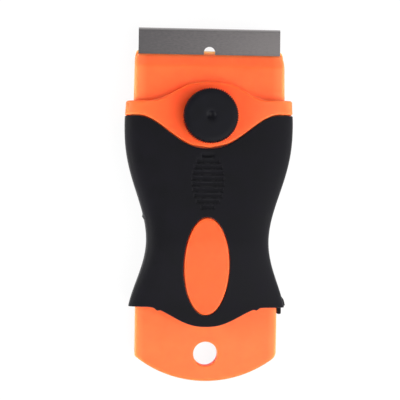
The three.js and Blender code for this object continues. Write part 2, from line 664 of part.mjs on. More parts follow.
const finishes = {
  orange: { color: 0xf4692f, roughness: 0.42, metalness: 0 },
  soft: { color: 0x1d1d20, roughness: 0.75, metalness: 0 },
  black: { color: 0x202024, roughness: 0.5, metalness: 0 },
  blade: { color: 0x8b8c90, roughness: 0.35, metalness: 1 },
  plated: { color: 0xb9bcc2, roughness: 0.3, metalness: 1 },
};

function piece(name, body, finish) {
  const mesh = body.getMesh();
  const geometry = new THREE.BufferGeometry();
  geometry.setAttribute('position', new THREE.BufferAttribute(mesh.vertProperties, 3));
  geometry.setIndex(new THREE.BufferAttribute(mesh.triVerts, 1));
  const part = new THREE.Mesh(geometry, new THREE.MeshStandardMaterial(finishes[finish]));
  part.name = name;
  return part;
}

const group = new THREE.Group();
group.name = 'glue_scraper';
group.add(
  piece('front_shell', makeFrontShell(), 'orange'),
  piece('rear_shell', makeRearShell(), 'orange'),
  piece('front_grip', makeFrontGrip(), 'soft'),
  piece('rear_grip', makeRearGrip(), 'soft'),
  piece('blade_holder', makeBladeHolder(), 'orange'),
  piece('clamp_jaw', makeClampJaw(), 'orange'),
  piece('blade', makeBlade(), 'blade'),
  piece('knob', makeKnob(), 'black'),
  piece('clamp_stud', makeClampStud(), 'plated'),
  piece('thrust_washer', makeThrustWasher(), 'plated'),
  piece('clamp_nut', makeClampNut(), 'plated'),
  piece('jaw_spring', makeJawSpring(), 'plated'),
);
screwPlaces.forEach((place, i) => group.add(piece(`shell_screw_${i + 1}`, makeScrew(place), 'plated')));

export default group;
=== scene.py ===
import math

import bmesh
import bpy
from mathutils import Matrix, Vector


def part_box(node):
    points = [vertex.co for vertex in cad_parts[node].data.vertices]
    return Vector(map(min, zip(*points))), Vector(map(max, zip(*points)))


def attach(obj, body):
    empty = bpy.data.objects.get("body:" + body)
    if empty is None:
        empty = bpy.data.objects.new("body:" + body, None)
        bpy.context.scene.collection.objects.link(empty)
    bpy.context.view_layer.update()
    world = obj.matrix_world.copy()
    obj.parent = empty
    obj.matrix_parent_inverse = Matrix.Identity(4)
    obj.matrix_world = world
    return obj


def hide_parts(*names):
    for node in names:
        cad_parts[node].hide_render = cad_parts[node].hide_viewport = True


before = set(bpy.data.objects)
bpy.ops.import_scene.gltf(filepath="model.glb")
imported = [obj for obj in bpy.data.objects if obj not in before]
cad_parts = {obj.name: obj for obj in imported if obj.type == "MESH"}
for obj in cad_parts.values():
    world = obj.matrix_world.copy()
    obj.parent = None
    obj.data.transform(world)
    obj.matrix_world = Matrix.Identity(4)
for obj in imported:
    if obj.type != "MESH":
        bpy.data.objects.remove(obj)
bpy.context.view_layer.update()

# Glue scraper, lying on its back: X across, Y along it towards the blade, Z up out of its front.
# Sizes are in millimetres until a piece is placed, when MM turns them to metres.
MM = 0.001


def reach(node):
    """A CAD node's lowest and highest corner, in millimetres."""
    low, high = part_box(node)
    return low / MM, high / MM


# Gaps
SEAT = 0.1  # round fixed pieces
SLIDE = 0.25  # beside the nose and the lug
CLEAR = 0.3  # round moving pieces
THREAD_GAP = 0.12  # round a screw in its post
BLADE_GAP = 0.05  # over, under and behind the blade
SEAM_LINE = 0.28  # open seam between the grip and the orange shells

# Places along the tool and heights over its back, taken from the CAD nodes
TAIL_END, COLLAR_TOP = reach("rear_shell")[0].y, reach("rear_shell")[1].y
REAR_TOP, FRONT_BASE = reach("rear_shell")[1].z, reach("front_shell")[0].z
ARCH_TOP = reach("front_shell")[1].y
SKIRT_LOW, GRIP_TOP = reach("rear_grip")[0].y, reach("rear_grip")[1].y + SEAT
HOLDER_LOW, HOLDER_HIGH = reach("blade_holder")
HOLDER_HEEL, HOLDER_BACK, REAR_LIP = HOLDER_LOW.y, HOLDER_LOW.z, HOLDER_HIGH.y
JAW_LOW, JAW_HIGH = reach("clamp_jaw")
JAW_HEEL, JAW_SEAT, FRONT_LIP, JAW_FACE = JAW_LOW.y, JAW_LOW.z, JAW_HIGH.y, JAW_HIGH.z
KNOB_LOW, KNOB_HIGH = reach("knob")
KNOB_Y, KNOB_TOP = (KNOB_LOW.y + KNOB_HIGH.y) / 2, KNOB_HIGH.z
KNOB_RADIUS = (KNOB_HIGH.x - KNOB_LOW.x) / 2
BLADE_LOW, BLADE_HIGH = reach("blade")
screw_nodes = [f"shell_screw_{number}" for number in (1, 2, 3, 4)]
screw_places = [((a.x + b.x) / 2, (a.y + b.y) / 2) for a, b in map(reach, screw_nodes)]
SCREW_TIP = reach(screw_nodes[0])[1].z

# Handle
GRIP_LOW = SKIRT_LOW + 5.35  # lower corners of the grip
SHOULDER_Y, WAIST_Y = GRIP_TOP - 2.3, GRIP_LOW + 18.0
SHOULDER, WAIST, FLARE, COLLAR = 23.07, 16.75, 21.4, 22.77  # half-widths
SHOULDER_CURVE = 1.22  # over 1, the sides stay wide for longer below the shoulder
FLARE_TURN = 0.8 * math.pi  # part of a cosine wave that the sides follow from the waist to the flare
LENS_TOP = 13.35  # height of the front at the collar
PALM_TOP, SKIRT_TOP = LENS_TOP + 0.5, LENS_TOP - 2.2
BACK_TRIM = 0.2  # what the flat back takes off the round section
SQUARENESS = 5.0  # power of the round section
SKIN, CORE, HOLLOW = 1.2, 1.5, 3.0  # insets of the grip's underside, of the shells under it and of their inside
FRONT_WALL, REAR_WALL = 1.4, 1.7  # of the shells, where they meet
FRONT_TUCK, REAR_TUCK = 2.5, 1.0  # front core past the lens's edge, rear core short of the collar's end
REAR_HEART = Vector((0, -3))  # plan point from which the rows of the rear pieces start
GRIP_OFFSET = -0.35  # the front grip's edges sit this far off the tool's middle
COLLAR_SKEW = 0.014  # rise of the collar's edges across the tool
LENS_LOW = KNOB_Y - KNOB_RADIUS - 1.0
LENS_HALF, LENS_CURVE = 19.5, 1.15
ARCH_HALF, ARCH_CURVE = 15.2, 1.39
SKIRT_HALF, SKIRT_CURVE = 16.1, 1.17
OVAL = Vector((GRIP_OFFSET, GRIP_LOW + 11.15))
OVAL_HALF_WIDTH, OVAL_HALF_LENGTH = 6.08, 13.2
EDGE_ROLL = 0.35  # rounding of the edges of grip and oval
RIM_REACH, RIM_MARGIN = 1.0, 0.02  # where a grip ends at the orange shells: along the tool, and off its sides

# Groove patch of the front grip
GROOVES, GROOVE_PITCH, GROOVE_WIDTH, GROOVE_DEPTH = 10, 1.55, 1.0, 0.4
GROOVE_SOFT = 0.16  # half the width of a groove's rounded side
PATCH_HALF, PATCH_TOP = 4.4, LENS_LOW - 2.2

# Collar
COLLAR_ROLL, STEP_ROLL = 0.5, 0.45  # rounding of its end and of its edge at the grip
STEP_DEPTH = 2.4  # of its edge under the grip
SIDE_DROP = 0.3  # most that the rounding takes off its sides
SIDE_FADE, TOP_FADE = 8, 0.4  # powers by which the rounding fades towards the middle and towards the sides
MOUTH_SQUARENESS = 12.0
MOUTH_START, MOUTH_DEPTH = 0.6, 0.9  # from the edge at the grip, and from the end to the room for the nose

# Nose
LIP_HALF, NOSE_HALF, TONGUE_HALF = 19.8, 20.72, 16.5
NOSE_ROUNDING, ROUNDING_SHARE, LIP_THICKNESS = 1.1, 0.7, 1.0  # the share is the most of a thickness rounded
CORNER_LENGTH, CORNER_DRAW, CORNER_BEND = 3.8, 0.7, 0.9
NOSE_SHOULDER = COLLAR_TOP - 6.0
FRONT_TAPER, REAR_TAPER = 3.4, 5.4  # lengths of the slopes to the lips
FRONT_CREASE, REAR_CREASE = 0.3, 0.15  # softness of the creases where the slopes start
FRONT_LIP_ROLL, REAR_LIP_ROLL = 0.9, 0.45
ROOF = JAW_FACE + 0.95  # top of the room for the nose
CHANNEL_HALF = NOSE_HALF + SLIDE
LUG_HALF, LUG_LOW, LUG_HIGH = 1.3, BLADE_LOW.y + SEAT, BLADE_LOW.y + 7.1
LUG_HEIGHT, LUG_ROUNDING, LUG_ROOM = 0.7, 0.15, 0.65

# Fixings inside
GUIDE_RADIUS, GUIDE_HEIGHT, GUIDE_X = 1.5, 2.0, 12.5
guide_places = [(x, (NOSE_SHOULDER + JAW_HEEL) / 2) for x in (-GUIDE_X, GUIDE_X)]
peg_places = [(x, (HOLDER_HEEL + JAW_HEEL) / 2) for x in (-TONGUE_HALF / 2, TONGUE_HALF / 2)]
POST_RADIUS, POST_SINK = 3.0, 0.05  # a post's end stays under the shell's surface
SCREW_RADIUS, SCREW_SEAT, WELL_RADIUS, WELL_TOP = 1.4, 2.1, 3.0, 3.0
STUD_BORE, HUB_ROOM, HUB_ROOM_DEPTH = 2.3, 4.8, 3.0
SPRING_ROOM, SPRING_ROOM_DEPTH = 3.85, 1.9
NUT_ROOM_HALF, NUT_ROOM_DEPTH = 3.6, 2.3
ROOT = 1.0  # how deep in its piece a joined form starts
BELOW, ABOVE = -5.0, 30.0  # past the tool, for cuts that run right through

# Tail
TAIL_HALF, TAIL_BACK, TAIL_ARC, TAIL_THINNING = 19.55, 1.6, 31.0, 0.7
TAIL_SLOPE_START, TAIL_ROOT = SKIRT_LOW - 0.9, GRIP_LOW + 2.4
RIGHT_CORNER, LEFT_CORNER = 2.6, 1.0
HANG_Y, HANG_RADIUS = TAIL_END + 7.6, 3.35
HOLE_ROLL, RIM_ROLL = 0.4, 0.8

# Trim left by the moulds: nibs under the skirt, a burr at the waist and flash at the lower right corner
NIB_X, NIB_WIDTH, NIB_DEPTH = 13.6, 0.55, 0.45
BURR_Y, BURR_WIDTH, BURR_DEPTH = -3.3, 0.45, 0.35
FLASH_SWELL, FLASH_TOP, FLASH_RAMP = 0.5, GRIP_LOW + 3.4, 1.6
FLASH_HALF, FLASH_TURN, FLASH_BEND = FLARE - 0.65, GRIP_LOW + 0.4, 0.7
FLASH_DROP, FLASH_BACK = 2.05, 3.0

# Knob
TEETH, TOOTH_DEPTH, TOOTH_COLUMNS = 72, 0.35, 8
TOOTH_ROOT, TOOTH_RAMP = 0.7, 0.5  # teeth start this far inside the rim and deepen over this length
KNOB_FOOT = LENS_TOP + 0.5
HUB_RADIUS, HUB_EDGE, STUD_HOLE = 4.3, 0.1, 2.1
HEAD_RADIUS, HEAD_TOP, HEAD_FOOT = 3.6, KNOB_TOP - 1.6, KNOB_TOP - 4.2  # room for the stud's head
FOOT_ROLL, FOOT_EDGE, FACE_ROLL = 0.3, 0.5, 0.6
FOOT_TURNS, FACE_TURNS = (0.4, 0.8, 1.2), (0.3, 0.6, 0.9, 1.2)  # radians round those edges
FACE_RINGS = (5.5, 4.0, 2.4, 1.5)
DIMPLE = ((1.3, 0.03), (1.2, 0.1), (0.98, 0.3), (0.7, 0.48), (0.35, 0.6), (0, 0.64))  # radius, depth

# Screws
SCREW_DOME = ((0, 0), (0.9, 0.02), (1.7, 0.12), (2.3, 0.36), (2.6, 0.7), (2.7, 1.1))  # radius, depth
SCREW_POINT = 1.2
SLOT_HALF_LENGTH, SLOT_HALF_WIDTH, SLOT_DEPTH = 1.5, 0.32, 0.8

# Rows and columns of the strips that the pieces are laid out from, and distances from an edge to its rows
SIDE_COLUMNS, TOP_COLUMNS, LOW_COLUMNS = 110, 150, 130
FRONT_LANES, UNDER_LANES, BOSS_LANES, CORE_LANES = 120, 14, 12, 24
REAR_LANES, REAR_INNER_LANES = 40, 36  # the rows of the rounded side take up the others
COLLAR_COLUMNS, COLLAR_LANES, TAIL_LANES = 160, 20, 14
CORNER_COLUMNS, TAIL_COLUMNS, ARC_COLUMNS = 14, 40, 110
JAW_LANES, HEEL_LANES, SEAT_LANES, NOSE_COLUMNS, BEND_COLUMNS = 60, 8, 40, 40, 10
ROD_COLUMNS, RIM_SPOTS = 64, 16
EDGE_STEPS = (0.0, 0.02, 0.06, 0.13, 0.22, 0.35)
SIDE_STEPS = (3.2, 2.5, 1.9, 1.4, 1.0, 0.7, 0.5, 0.35, 0.22, 0.13, 0.06, 0.02, 0.005, 0.0)
CORE_STEPS = (1.6, 1.1, 0.75, 0.5, 0.32, 0.2, 0.11, 0.05, 0.015, 0.0)
COLLAR_STEPS = (0.5, 0.33, 0.2, 0.1, 0.04, 0.01, 0.0)
HOLE_STEPS = (0.0, 0.02, 0.08, 0.17, 0.28, 0.4)
RIM_STEPS = (0.8, 0.6, 0.42, 0.27, 0.15, 0.06, 0.015, 0.0)
FRONT_LIP_STEPS = (0.7, 0.52, 0.37, 0.25, 0.15, 0.08, 0.03, 0.0)
REAR_LIP_STEPS = (0.33, 0.22, 0.13, 0.06, 0.02, 0.0)
NARROW = 5.0  # width under which a plate's edge rows draw together
CREASE = math.radians(38)
MEET_ROUNDS = 30
MERGE = 1e-7  # metres


def mix(a, b, share):
    return a + (b - a) * share


def ease(share):
    share = min(1.0, max(0.0, share))
    return share * share * (3 - 2 * share)


def bump_at(distance, width):
    """A smooth bump that is 1 at no distance and fades over a width."""
    return math.exp(-((distance / width) ** 2))


def roll(radius):
    """Drop of a rounded edge at a distance from it."""
    return lambda d: radius - math.sqrt(max(0.0, radius ** 2 - max(0.0, radius - d) ** 2))


def side(y):
    """Half the handle's width."""
    if y >= SHOULDER_Y:
        return mix(SHOULDER, COLLAR, ease((y - SHOULDER_Y) / (COLLAR_TOP - SHOULDER_Y)))
    if y >= WAIST_Y:
        share = (SHOULDER_Y - y) / (SHOULDER_Y - WAIST_Y)
        return mix(WAIST, SHOULDER, (1 + math.cos(math.pi * share ** SHOULDER_CURVE)) / 2)
    share = (WAIST_Y - y) / (WAIST_Y - GRIP_LOW)
    return mix(WAIST, FLARE, (1 - math.cos(FLARE_TURN * share)) / (1 - math.cos(FLARE_TURN)))


def crown(y):
    """Height of the handle's front along its middle."""
    if y >= WAIST_Y:
        return mix(LENS_TOP, PALM_TOP, ease((SHOULDER_Y - y) / (SHOULDER_Y - WAIST_Y)))
    return mix(PALM_TOP, SKIRT_TOP, ease((WAIST_Y - y) / (WAIST_Y - GRIP_LOW)))


def fullness(x, half):
    """How much of its height a section of the handle still has at x."""
    return max(0.0, 1 - min(1.0, abs(x) / half) ** SQUARENESS) ** (1 / SQUARENESS)


def front_at(inset):
    """Height of the handle's front, drawn in by an inset, as a function of place."""
    return lambda x, y: FRONT_BASE + (crown(y) - FRONT_BASE - inset) * fullness(x, side(y) - inset)


def back_at(inset):
    """Height of the handle's back, drawn in by an inset, as a function of place."""
    depth = REAR_TOP + BACK_TRIM - inset
    return lambda x, y: max(inset, REAR_TOP - depth * fullness(x, side(y) - inset))


def swell(level, middle, half, curve, centre=0.0, skew=0.0):
    """An edge across the tool, level at the sides, with a cosine swell to another level at its middle."""
    def edge(x):
        way = min(1.0, abs(x - centre) / half) ** curve
        return mix(level, middle, (1 + math.cos(math.pi * way)) / 2) + skew * x
    return edge


def skewed(y):
    """A straight edge across the tool that follows the collar."""
    return lambda x: y + COLLAR_SKEW * x


lens_edge = swell(GRIP_TOP, LENS_LOW, LENS_HALF, LENS_CURVE, GRIP_OFFSET, COLLAR_SKEW)
arch_edge = swell(COLLAR_TOP, ARCH_TOP, ARCH_HALF, ARCH_CURVE, 0.0, COLLAR_SKEW)
skirt_edge = swell(GRIP_LOW, SKIRT_LOW, SKIRT_HALF, SKIRT_CURVE, GRIP_OFFSET)
edge_roll = roll(EDGE_ROLL)


def spun(columns, rows, place, closed=False, turn=2 * math.pi):
    """A strip of vertices spun round in steps, after which each vertex goes to its own place on the piece."""
    bm = bmesh.new()
    strip = [bm.verts.new((1 + row, 0, 0)) for row in range(rows)]
    edges = [bm.edges.new(pair) for pair in zip(strip, strip[1:])]
    if closed:
        edges.append(bm.edges.new((strip[-1], strip[0])))
    whole = turn == 2 * math.pi
    bmesh.ops.spin(bm, geom=strip + edges, cent=(0, 0, 0), axis=(0, 0, 1), angle=turn, steps=columns,
                   use_merge=whole)
    for vert in bm.verts:
        row = round(vert.co.length) - 1
        around = math.atan2(vert.co.y, vert.co.x) % (2 * math.pi)
        column = round(around * columns / turn)
        vert.co = Vector(place(column % columns if whole else column, row)) * MM
    bmesh.ops.remove_doubles(bm, verts=bm.verts, dist=MERGE)
    bmesh.ops.holes_fill(bm, edges=[e for e in bm.edges if e.is_boundary], sides=0)
    bmesh.ops.recalc_face_normals(bm, faces=bm.faces)
    return bm


def turned(profile, x, y, columns, trim=lambda radius, around: 0.0):
    """Radii and heights turned round an upright axis, less what is trimmed off the radius."""
    def place(column, row):
        radius, z = profile[row]
        around = 2 * math.pi * column / columns
        radius -= trim(radius, around)
        return x + radius * math.cos(around), y + radius * math.sin(around), z
    return spun(columns, len(profile), place)


def box_shape(low, high, rounding=0.0):
    """A block between two corners, with its edges rounded."""
    bm = bmesh.new()
    bmesh.ops.create_cube(bm, size=1)
    size, middle = Vector(high) - Vector(low), (Vector(high) + Vector(low)) / 2
    bmesh.ops.scale(bm, verts=bm.verts, vec=size * MM)
    bmesh.ops.translate(bm, verts=bm.verts, vec=middle * MM)
    if rounding:
        bmesh.ops.bevel(bm, geom=bm.edges[:], offset=rounding * MM, segments=2, profile=0.5,
                        affect="EDGES", material=-1)
    return bm


def rod_shape(radius, x, y, low, high):
    """An upright rod between two heights."""
    bm = bmesh.new()
    stand = Matrix.Translation(Vector((x, y, (low + high) / 2)) * MM)
    bmesh.ops.create_cone(bm, cap_ends=True, segments=ROD_COLUMNS, radius1=radius * MM,
                          radius2=radius * MM, depth=(high - low) * MM, matrix=stand)
    return bm


def solid(name, bm, material):
    """A bmesh as an object at the origin, smooth except along its creases."""
    for face in bm.faces:
        face.smooth = True
    mesh = bpy.data.meshes.new(name)
    bm.to_mesh(mesh)
    bm.free()
    mesh.set_sharp_from_angle(angle=CREASE)
    mesh.materials.append(material)
    thing = bpy.data.objects.new(name, mesh)
    bpy.context.scene.collection.objects.link(thing)
    return thing


def combine(thing, tools, how):
    """Joins the tools to a piece or cuts them out of it."""
    for tool in tools:
        cutter = solid("tool", tool, thing.data.materials[0])
        step = thing.modifiers.new("combine", "BOOLEAN")
        step.operation, step.solver, step.object = how, "MANIFOLD", cutter
        shaped = bpy.data.meshes.new_from_object(thing.evaluated_get(bpy.context.evaluated_depsgraph_get()))
        thing.modifiers.clear()
        thing.data = shaped
        spare = cutter.data
        bpy.data.objects.remove(cutter)
        bpy.data.meshes.remove(spare)
    thing.data.set_sharp_from_angle(angle=CREASE)
    return thing


def finished(thing, node, body):
    """Hides the node that a piece takes the place of, and puts the piece on the body it rides on."""
    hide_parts(node)
    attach(thing, body)


# Materials

def linear(colour):
    """An sRGB hex colour as linear RGBA."""
    values = [int(colour[i:i + 2], 16) / 255 for i in (1, 3, 5)]
    return [v / 12.92 if v <= 0.04045 else ((v + 0.055) / 1.055) ** 2.4 for v in values] + [1.0]


def add(tree, kind, inputs=None, **settings):
    """Adds a node with its settings. An input is a value, or the socket that feeds it."""
    made = tree.nodes.new(kind)
    for key, value in settings.items():
        setattr(made, key, value)
    for name, value in (inputs or {}).items():
        if isinstance(value, bpy.types.NodeSocket):
            tree.links.new(value, made.inputs[name])
        else:
            made.inputs[name].default_value = value
    return made


def per_metre(size):
    """Noise scale that gives features of about this size in millimetres."""
    return 1 / (size * MM)


def new_material(name, constants):
    """A material whose shader has these constants, with its node tree, its shader and the place on a piece."""
    material = bpy.data.materials.new(name)
    material.use_nodes = True
    tree = material.node_tree
    shader = tree.nodes["Principled BSDF"]
    for socket, value in constants.items():
        shader.inputs[socket].default_value = value
    place = add(tree, "ShaderNodeTexCoord").outputs["Object"]
    return material, tree, shader, place


NOISE_RANGE = {"From Min": 0.3, "From Max": 0.7}  # where most of a noise's values lie
# Spans over which the painted glow and the painted shade come into the tint of the orange pieces
SIDES, BARE = (17.0, 20.2), (COLLAR_TOP - 0.3, COLLAR_TOP + 0.4)  # from the middle, and along to nose and tail
LIP, LIP_FACE = (FRONT_LIP - 0.3, REAR_LIP), (BLADE_LOW.z - 0.6, BLADE_LOW.z - 0.15)  # along, and up
INWARD, RAISED = (17.0, 9.0), (10.7, 11.1)  # from the middle, and up to the lens and the oval
SIDE_GLOW = 0.21  # how far the sides go to the paler painted-glow tint
GROUND_EDGE = 0.7  # of the blade
RING_SPACING = 3.1416  # of the knob
WAVE_LENGTH = 2 * math.pi / 20  # of a wave texture at a scale of 1


def orange_abs():
    """Injection-moulded orange ABS: satin, finely grained, a little see-through, so that lit edges glow; thin
    edges also carry a painted glow, and the lens and the oval a painted shade.
    """
    material, tree, shader, place = new_material("orange_abs_moulded", {
        "IOR": 1.53, "Specular IOR Level": 0.12, "Subsurface Weight": 0.9,
        "Subsurface Radius": (1.0, 0.8, 0.6), "Subsurface Scale": 2.5 * MM})
    clouds = add(tree, "ShaderNodeTexNoise", {"Vector": place, "Scale": per_metre(7), "Detail": 3.0})
    shade = add(tree, "ShaderNodeMapRange", {**NOISE_RANGE, "Value": clouds.outputs["Fac"]})
    tint = add(tree, "ShaderNodeMix", {"Factor": shade.outputs["Result"], "A": linear("#FE6531"),
                                       "B": linear("#FF6C36")}, data_type="RGBA")
    # Painted glow: the sides of nose and tail, and the rear lip's face, are tinted paler to stand in for light
    # that comes through thin edges.
    spot = add(tree, "ShaderNodeSeparateXYZ", {"Vector": place})
    x, y, z = [spot.outputs[axis] for axis in "XYZ"]
    across = add(tree, "ShaderNodeMath", {0: x}, operation="ABSOLUTE").outputs["Value"]
    along = add(tree, "ShaderNodeMath", {0: y}, operation="ABSOLUTE").outputs["Value"]
    masks = []
    for pair in (((across, SIDES), (along, BARE)), ((y, LIP), (z, LIP_FACE)), ((across, INWARD), (z, RAISED))):
        ramps = [add(tree, "ShaderNodeMapRange", {"Value": value, "From Min": start * MM, "From Max": end * MM})
                 for value, (start, end) in pair]
        both = add(tree, "ShaderNodeMath", {n: ramp.outputs["Result"] for n, ramp in enumerate(ramps)},
                   operation="MULTIPLY")
        masks.append(both.outputs["Value"])
    sides, lip_face, painted_shade_mask = masks
    glow = add(tree, "ShaderNodeMath", {0: sides, 1: SIDE_GLOW}, operation="MULTIPLY")
    painted_glow = add(tree, "ShaderNodeMath", {0: glow.outputs["Value"], 1: lip_face}, operation="MAXIMUM")
    # The pale orange is painted glow at thin edges.
    painted_glow_tint = add(tree, "ShaderNodeMix", {"Factor": painted_glow.outputs["Value"], "A": tint.outputs["Result"],
                                        "B": linear("#FFC080")}, data_type="RGBA")
    # Painted shade: the raised middle, round the lens and the oval, is tinted a deeper red to stand in for the
    # shade there, where no light comes through over the dark inside of the handle.
    painted_shade_tint = add(tree, "ShaderNodeMix", {"Factor": painted_shade_mask, "A": painted_glow_tint.outputs["Result"],
                                         "B": linear("#FF5A26")}, data_type="RGBA")
    tree.links.new(painted_shade_tint.outputs["Result"], shader.inputs["Base Color"])
    patches = add(tree, "ShaderNodeTexNoise", {"Vector": place, "Scale": per_metre(1.5), "Detail": 4.0})
    satin = add(tree, "ShaderNodeMapRange", {**NOISE_RANGE, "Value": patches.outputs["Fac"],
                                             "To Min": 0.38, "To Max": 0.48})
    tree.links.new(satin.outputs["Result"], shader.inputs["Roughness"])
    # The real mould grain is about 0.1 mm. It is drawn at 0.35 mm so that it shows at all.
    grain = add(tree, "ShaderNodeTexNoise", {"Vector": place, "Scale": per_metre(0.35), "Detail": 2.0})
    bump = add(tree, "ShaderNodeBump", {"Height": grain.outputs["Fac"], "Strength": 0.12,
                                        "Distance": 0.03 * MM})
    tree.links.new(bump.outputs["Normal"], shader.inputs["Normal"])
    return material


def soft_rubber():
    """Overmoulded black thermoplastic rubber: matte with a fine blasted grain and faintly uneven black."""
    material, tree, shader, place = new_material("black_rubber_overmould", {
        "IOR": 1.48, "Specular IOR Level": 0.06, "Sheen Weight": 0.16, "Sheen Roughness": 0.4})
    clouds = add(tree, "ShaderNodeTexNoise", {"Vector": place, "Scale": per_metre(5), "Detail": 4.0})
    shade = add(tree, "ShaderNodeMapRange", {**NOISE_RANGE, "Value": clouds.outputs["Fac"]})
    tint = add(tree, "ShaderNodeMix", {"Factor": shade.outputs["Result"], "A": linear("#07070A"),
                                       "B": linear("#0C0B10")}, data_type="RGBA")
    tree.links.new(tint.outputs["Result"], shader.inputs["Base Color"])
    matte = add(tree, "ShaderNodeMapRange", {**NOISE_RANGE, "Value": clouds.outputs["Fac"],
                                             "To Min": 0.55, "To Max": 0.65})
    tree.links.new(matte.outputs["Result"], shader.inputs["Roughness"])
    # Blasted mould grain of about 0.15 mm, drawn at 0.4 mm so that it shows.
    grain = add(tree, "ShaderNodeTexNoise", {"Vector": place, "Scale": per_metre(0.4), "Detail": 3.0})
    bump = add(tree, "ShaderNodeBump", {"Height": grain.outputs["Fac"], "Strength": 0.25,
                                        "Distance": 0.05 * MM})
    tree.links.new(bump.outputs["Normal"], shader.inputs["Normal"])
    return material


def black_abs():
    """Injection-moulded black ABS of the knob: satin, with broad faint rings from the mould."""
    material, tree, shader, place = new_material("black_abs_moulded", {
        "IOR": 1.53, "Specular IOR Level": 0.07})
    clouds = add(tree, "ShaderNodeTexNoise", {"Vector": place, "Scale": per_metre(3), "Detail": 3.0})
    shade = add(tree, "ShaderNodeMapRange", {**NOISE_RANGE, "Value": clouds.outputs["Fac"]})
    tint = add(tree, "ShaderNodeMix", {"Factor": shade.outputs["Result"], "A": linear("#040408"),
                                       "B": linear("#07070D")}, data_type="RGBA")
    tree.links.new(tint.outputs["Result"], shader.inputs["Base Color"])
    satin = add(tree, "ShaderNodeMapRange", {**NOISE_RANGE, "Value": clouds.outputs["Fac"],
                                             "To Min": 0.42, "To Max": 0.5})
    tree.links.new(satin.outputs["Result"], shader.inputs["Roughness"])
    centred = add(tree, "ShaderNodeMapping", {"Vector": place, "Location": (0, -KNOB_Y * MM, 0)})
    # Broad rings, 3.1 mm apart.
    rings = add(tree, "ShaderNodeTexWave",
                {"Vector": centred.outputs["Vector"], "Scale": per_metre(RING_SPACING) * WAVE_LENGTH,
                 "Distortion": 0.4}, wave_type="RINGS", rings_direction="Z")
    bump = add(tree, "ShaderNodeBump", {"Height": rings.outputs["Fac"], "Strength": 0.08,
                                        "Distance": 0.03 * MM})
    tree.links.new(bump.outputs["Normal"], shader.inputs["Normal"])
    return material


def blade_steel():
    """Cold-rolled carbon steel: dull grey with rolling lines, tinted paler to one side as a painted reflection,
    and a ground edge that is brighter, partly from its own finish and partly as a painted highlight.
    """
    material, tree, shader, place = new_material("carbon_steel_ground", {"Metallic": 1.0})
    spot = add(tree, "ShaderNodeSeparateXYZ", {"Vector": place})
    # Painted reflection: the steel is tinted paler towards its right side, standing in for light it reflects
    # there.
    across = add(tree, "ShaderNodeMapRange", {"Value": spot.outputs["X"], "From Min": BLADE_LOW.x * MM,
                                              "From Max": BLADE_HIGH.x * MM})
    # Rolling lines run across the tool, 0.3 mm apart and some 0.9 mm long.
    lines = add(tree, "ShaderNodeMapping",
                {"Vector": place, "Scale": (per_metre(0.9), per_metre(0.3), per_metre(0.9))})
    streaks = add(tree, "ShaderNodeTexNoise", {"Vector": lines.outputs["Vector"], "Scale": 1.0, "Detail": 4.0})
    mottle = add(tree, "ShaderNodeMapRange", {**NOISE_RANGE, "Value": streaks.outputs["Fac"],
                                              "To Min": -0.35, "To Max": 0.35})
    mottle_and_painted_reflection = add(tree, "ShaderNodeMath", {0: across.outputs["Result"], 1: mottle.outputs["Result"]},
                   operation="ADD", use_clamp=True)
    rolled_tint_and_painted_reflection = add(tree, "ShaderNodeMix", {"Factor": mottle_and_painted_reflection.outputs["Value"], "A": linear("#4E4C4D"),
                                         "B": linear("#5C5959")}, data_type="RGBA")
    # The ground edge is tinted brighter: partly its own ground finish, partly a painted highlight where the
    # bevel catches the light.
    ground = add(tree, "ShaderNodeMapRange",
                 {"Value": spot.outputs["Y"], "From Min": (BLADE_HIGH.y - GROUND_EDGE) * MM,
                  "From Max": BLADE_HIGH.y * MM})
    tint = add(tree, "ShaderNodeMix", {"Factor": ground.outputs["Result"], "A": rolled_tint_and_painted_reflection.outputs["Result"],
                                       "B": linear("#A8A5A5")}, data_type="RGBA")
    tree.links.new(tint.outputs["Result"], shader.inputs["Base Color"])
    dull = add(tree, "ShaderNodeMapRange", {**NOISE_RANGE, "Value": streaks.outputs["Fac"],
                                            "To Min": 0.32, "To Max": 0.44})
    tree.links.new(dull.outputs["Result"], shader.inputs["Roughness"])
    bump = add(tree, "ShaderNodeBump", {"Height": streaks.outputs["Fac"], "Strength": 0.12,
                                        "Distance": 0.02 * MM})
    tree.links.new(bump.outputs["Normal"], shader.inputs["Normal"])
    return material


def zinc_plate():
    """Bright zinc-plated steel of the screws, stud, washer, nut and spring: pale and faintly clouded."""
    material, tree, shader, place = new_material("steel_zinc_plated", {"Metallic": 1.0})
    clouds = add(tree, "ShaderNodeTexNoise", {"Vector": place, "Scale": per_metre(1.2), "Detail": 4.0})
    shade = add(tree, "ShaderNodeMapRange", {**NOISE_RANGE, "Value": clouds.outputs["Fac"]})
    tint = add(tree, "ShaderNodeMix", {"Factor": shade.outputs["Result"], "A": linear("#A9ABB1"),
                                       "B": linear("#C4C5C8")}, data_type="RGBA")
    tree.links.new(tint.outputs["Result"], shader.inputs["Base Color"])
    gloss = add(tree, "ShaderNodeMapRange", {**NOISE_RANGE, "Value": clouds.outputs["Fac"],
                                             "To Min": 0.24, "To Max": 0.36})
    tree.links.new(gloss.outputs["Result"], shader.inputs["Roughness"])
    # Plating crystals are far finer than 0.2 mm, at which they are drawn.
    crystals = add(tree, "ShaderNodeTexNoise", {"Vector": place, "Scale": per_metre(0.2), "Detail": 2.0})
    bump = add(tree, "ShaderNodeBump", {"Height": crystals.outputs["Fac"], "Strength": 0.1,
                                        "Distance": 0.02 * MM})
    tree.links.new(bump.outputs["Normal"], shader.inputs["Normal"])
    return material


ORANGE, RUBBER, BLACK, STEEL, ZINC = orange_abs(), soft_rubber(), black_abs(), blade_steel(), zinc_plate()


# Plates: pieces whose rows run from a heart or a window out to an outline and back underneath

def walk(start, end, count, line):
    """Points along a line from one value to just before another."""
    return [line(mix(start, end, k / count)) for k in range(count)]


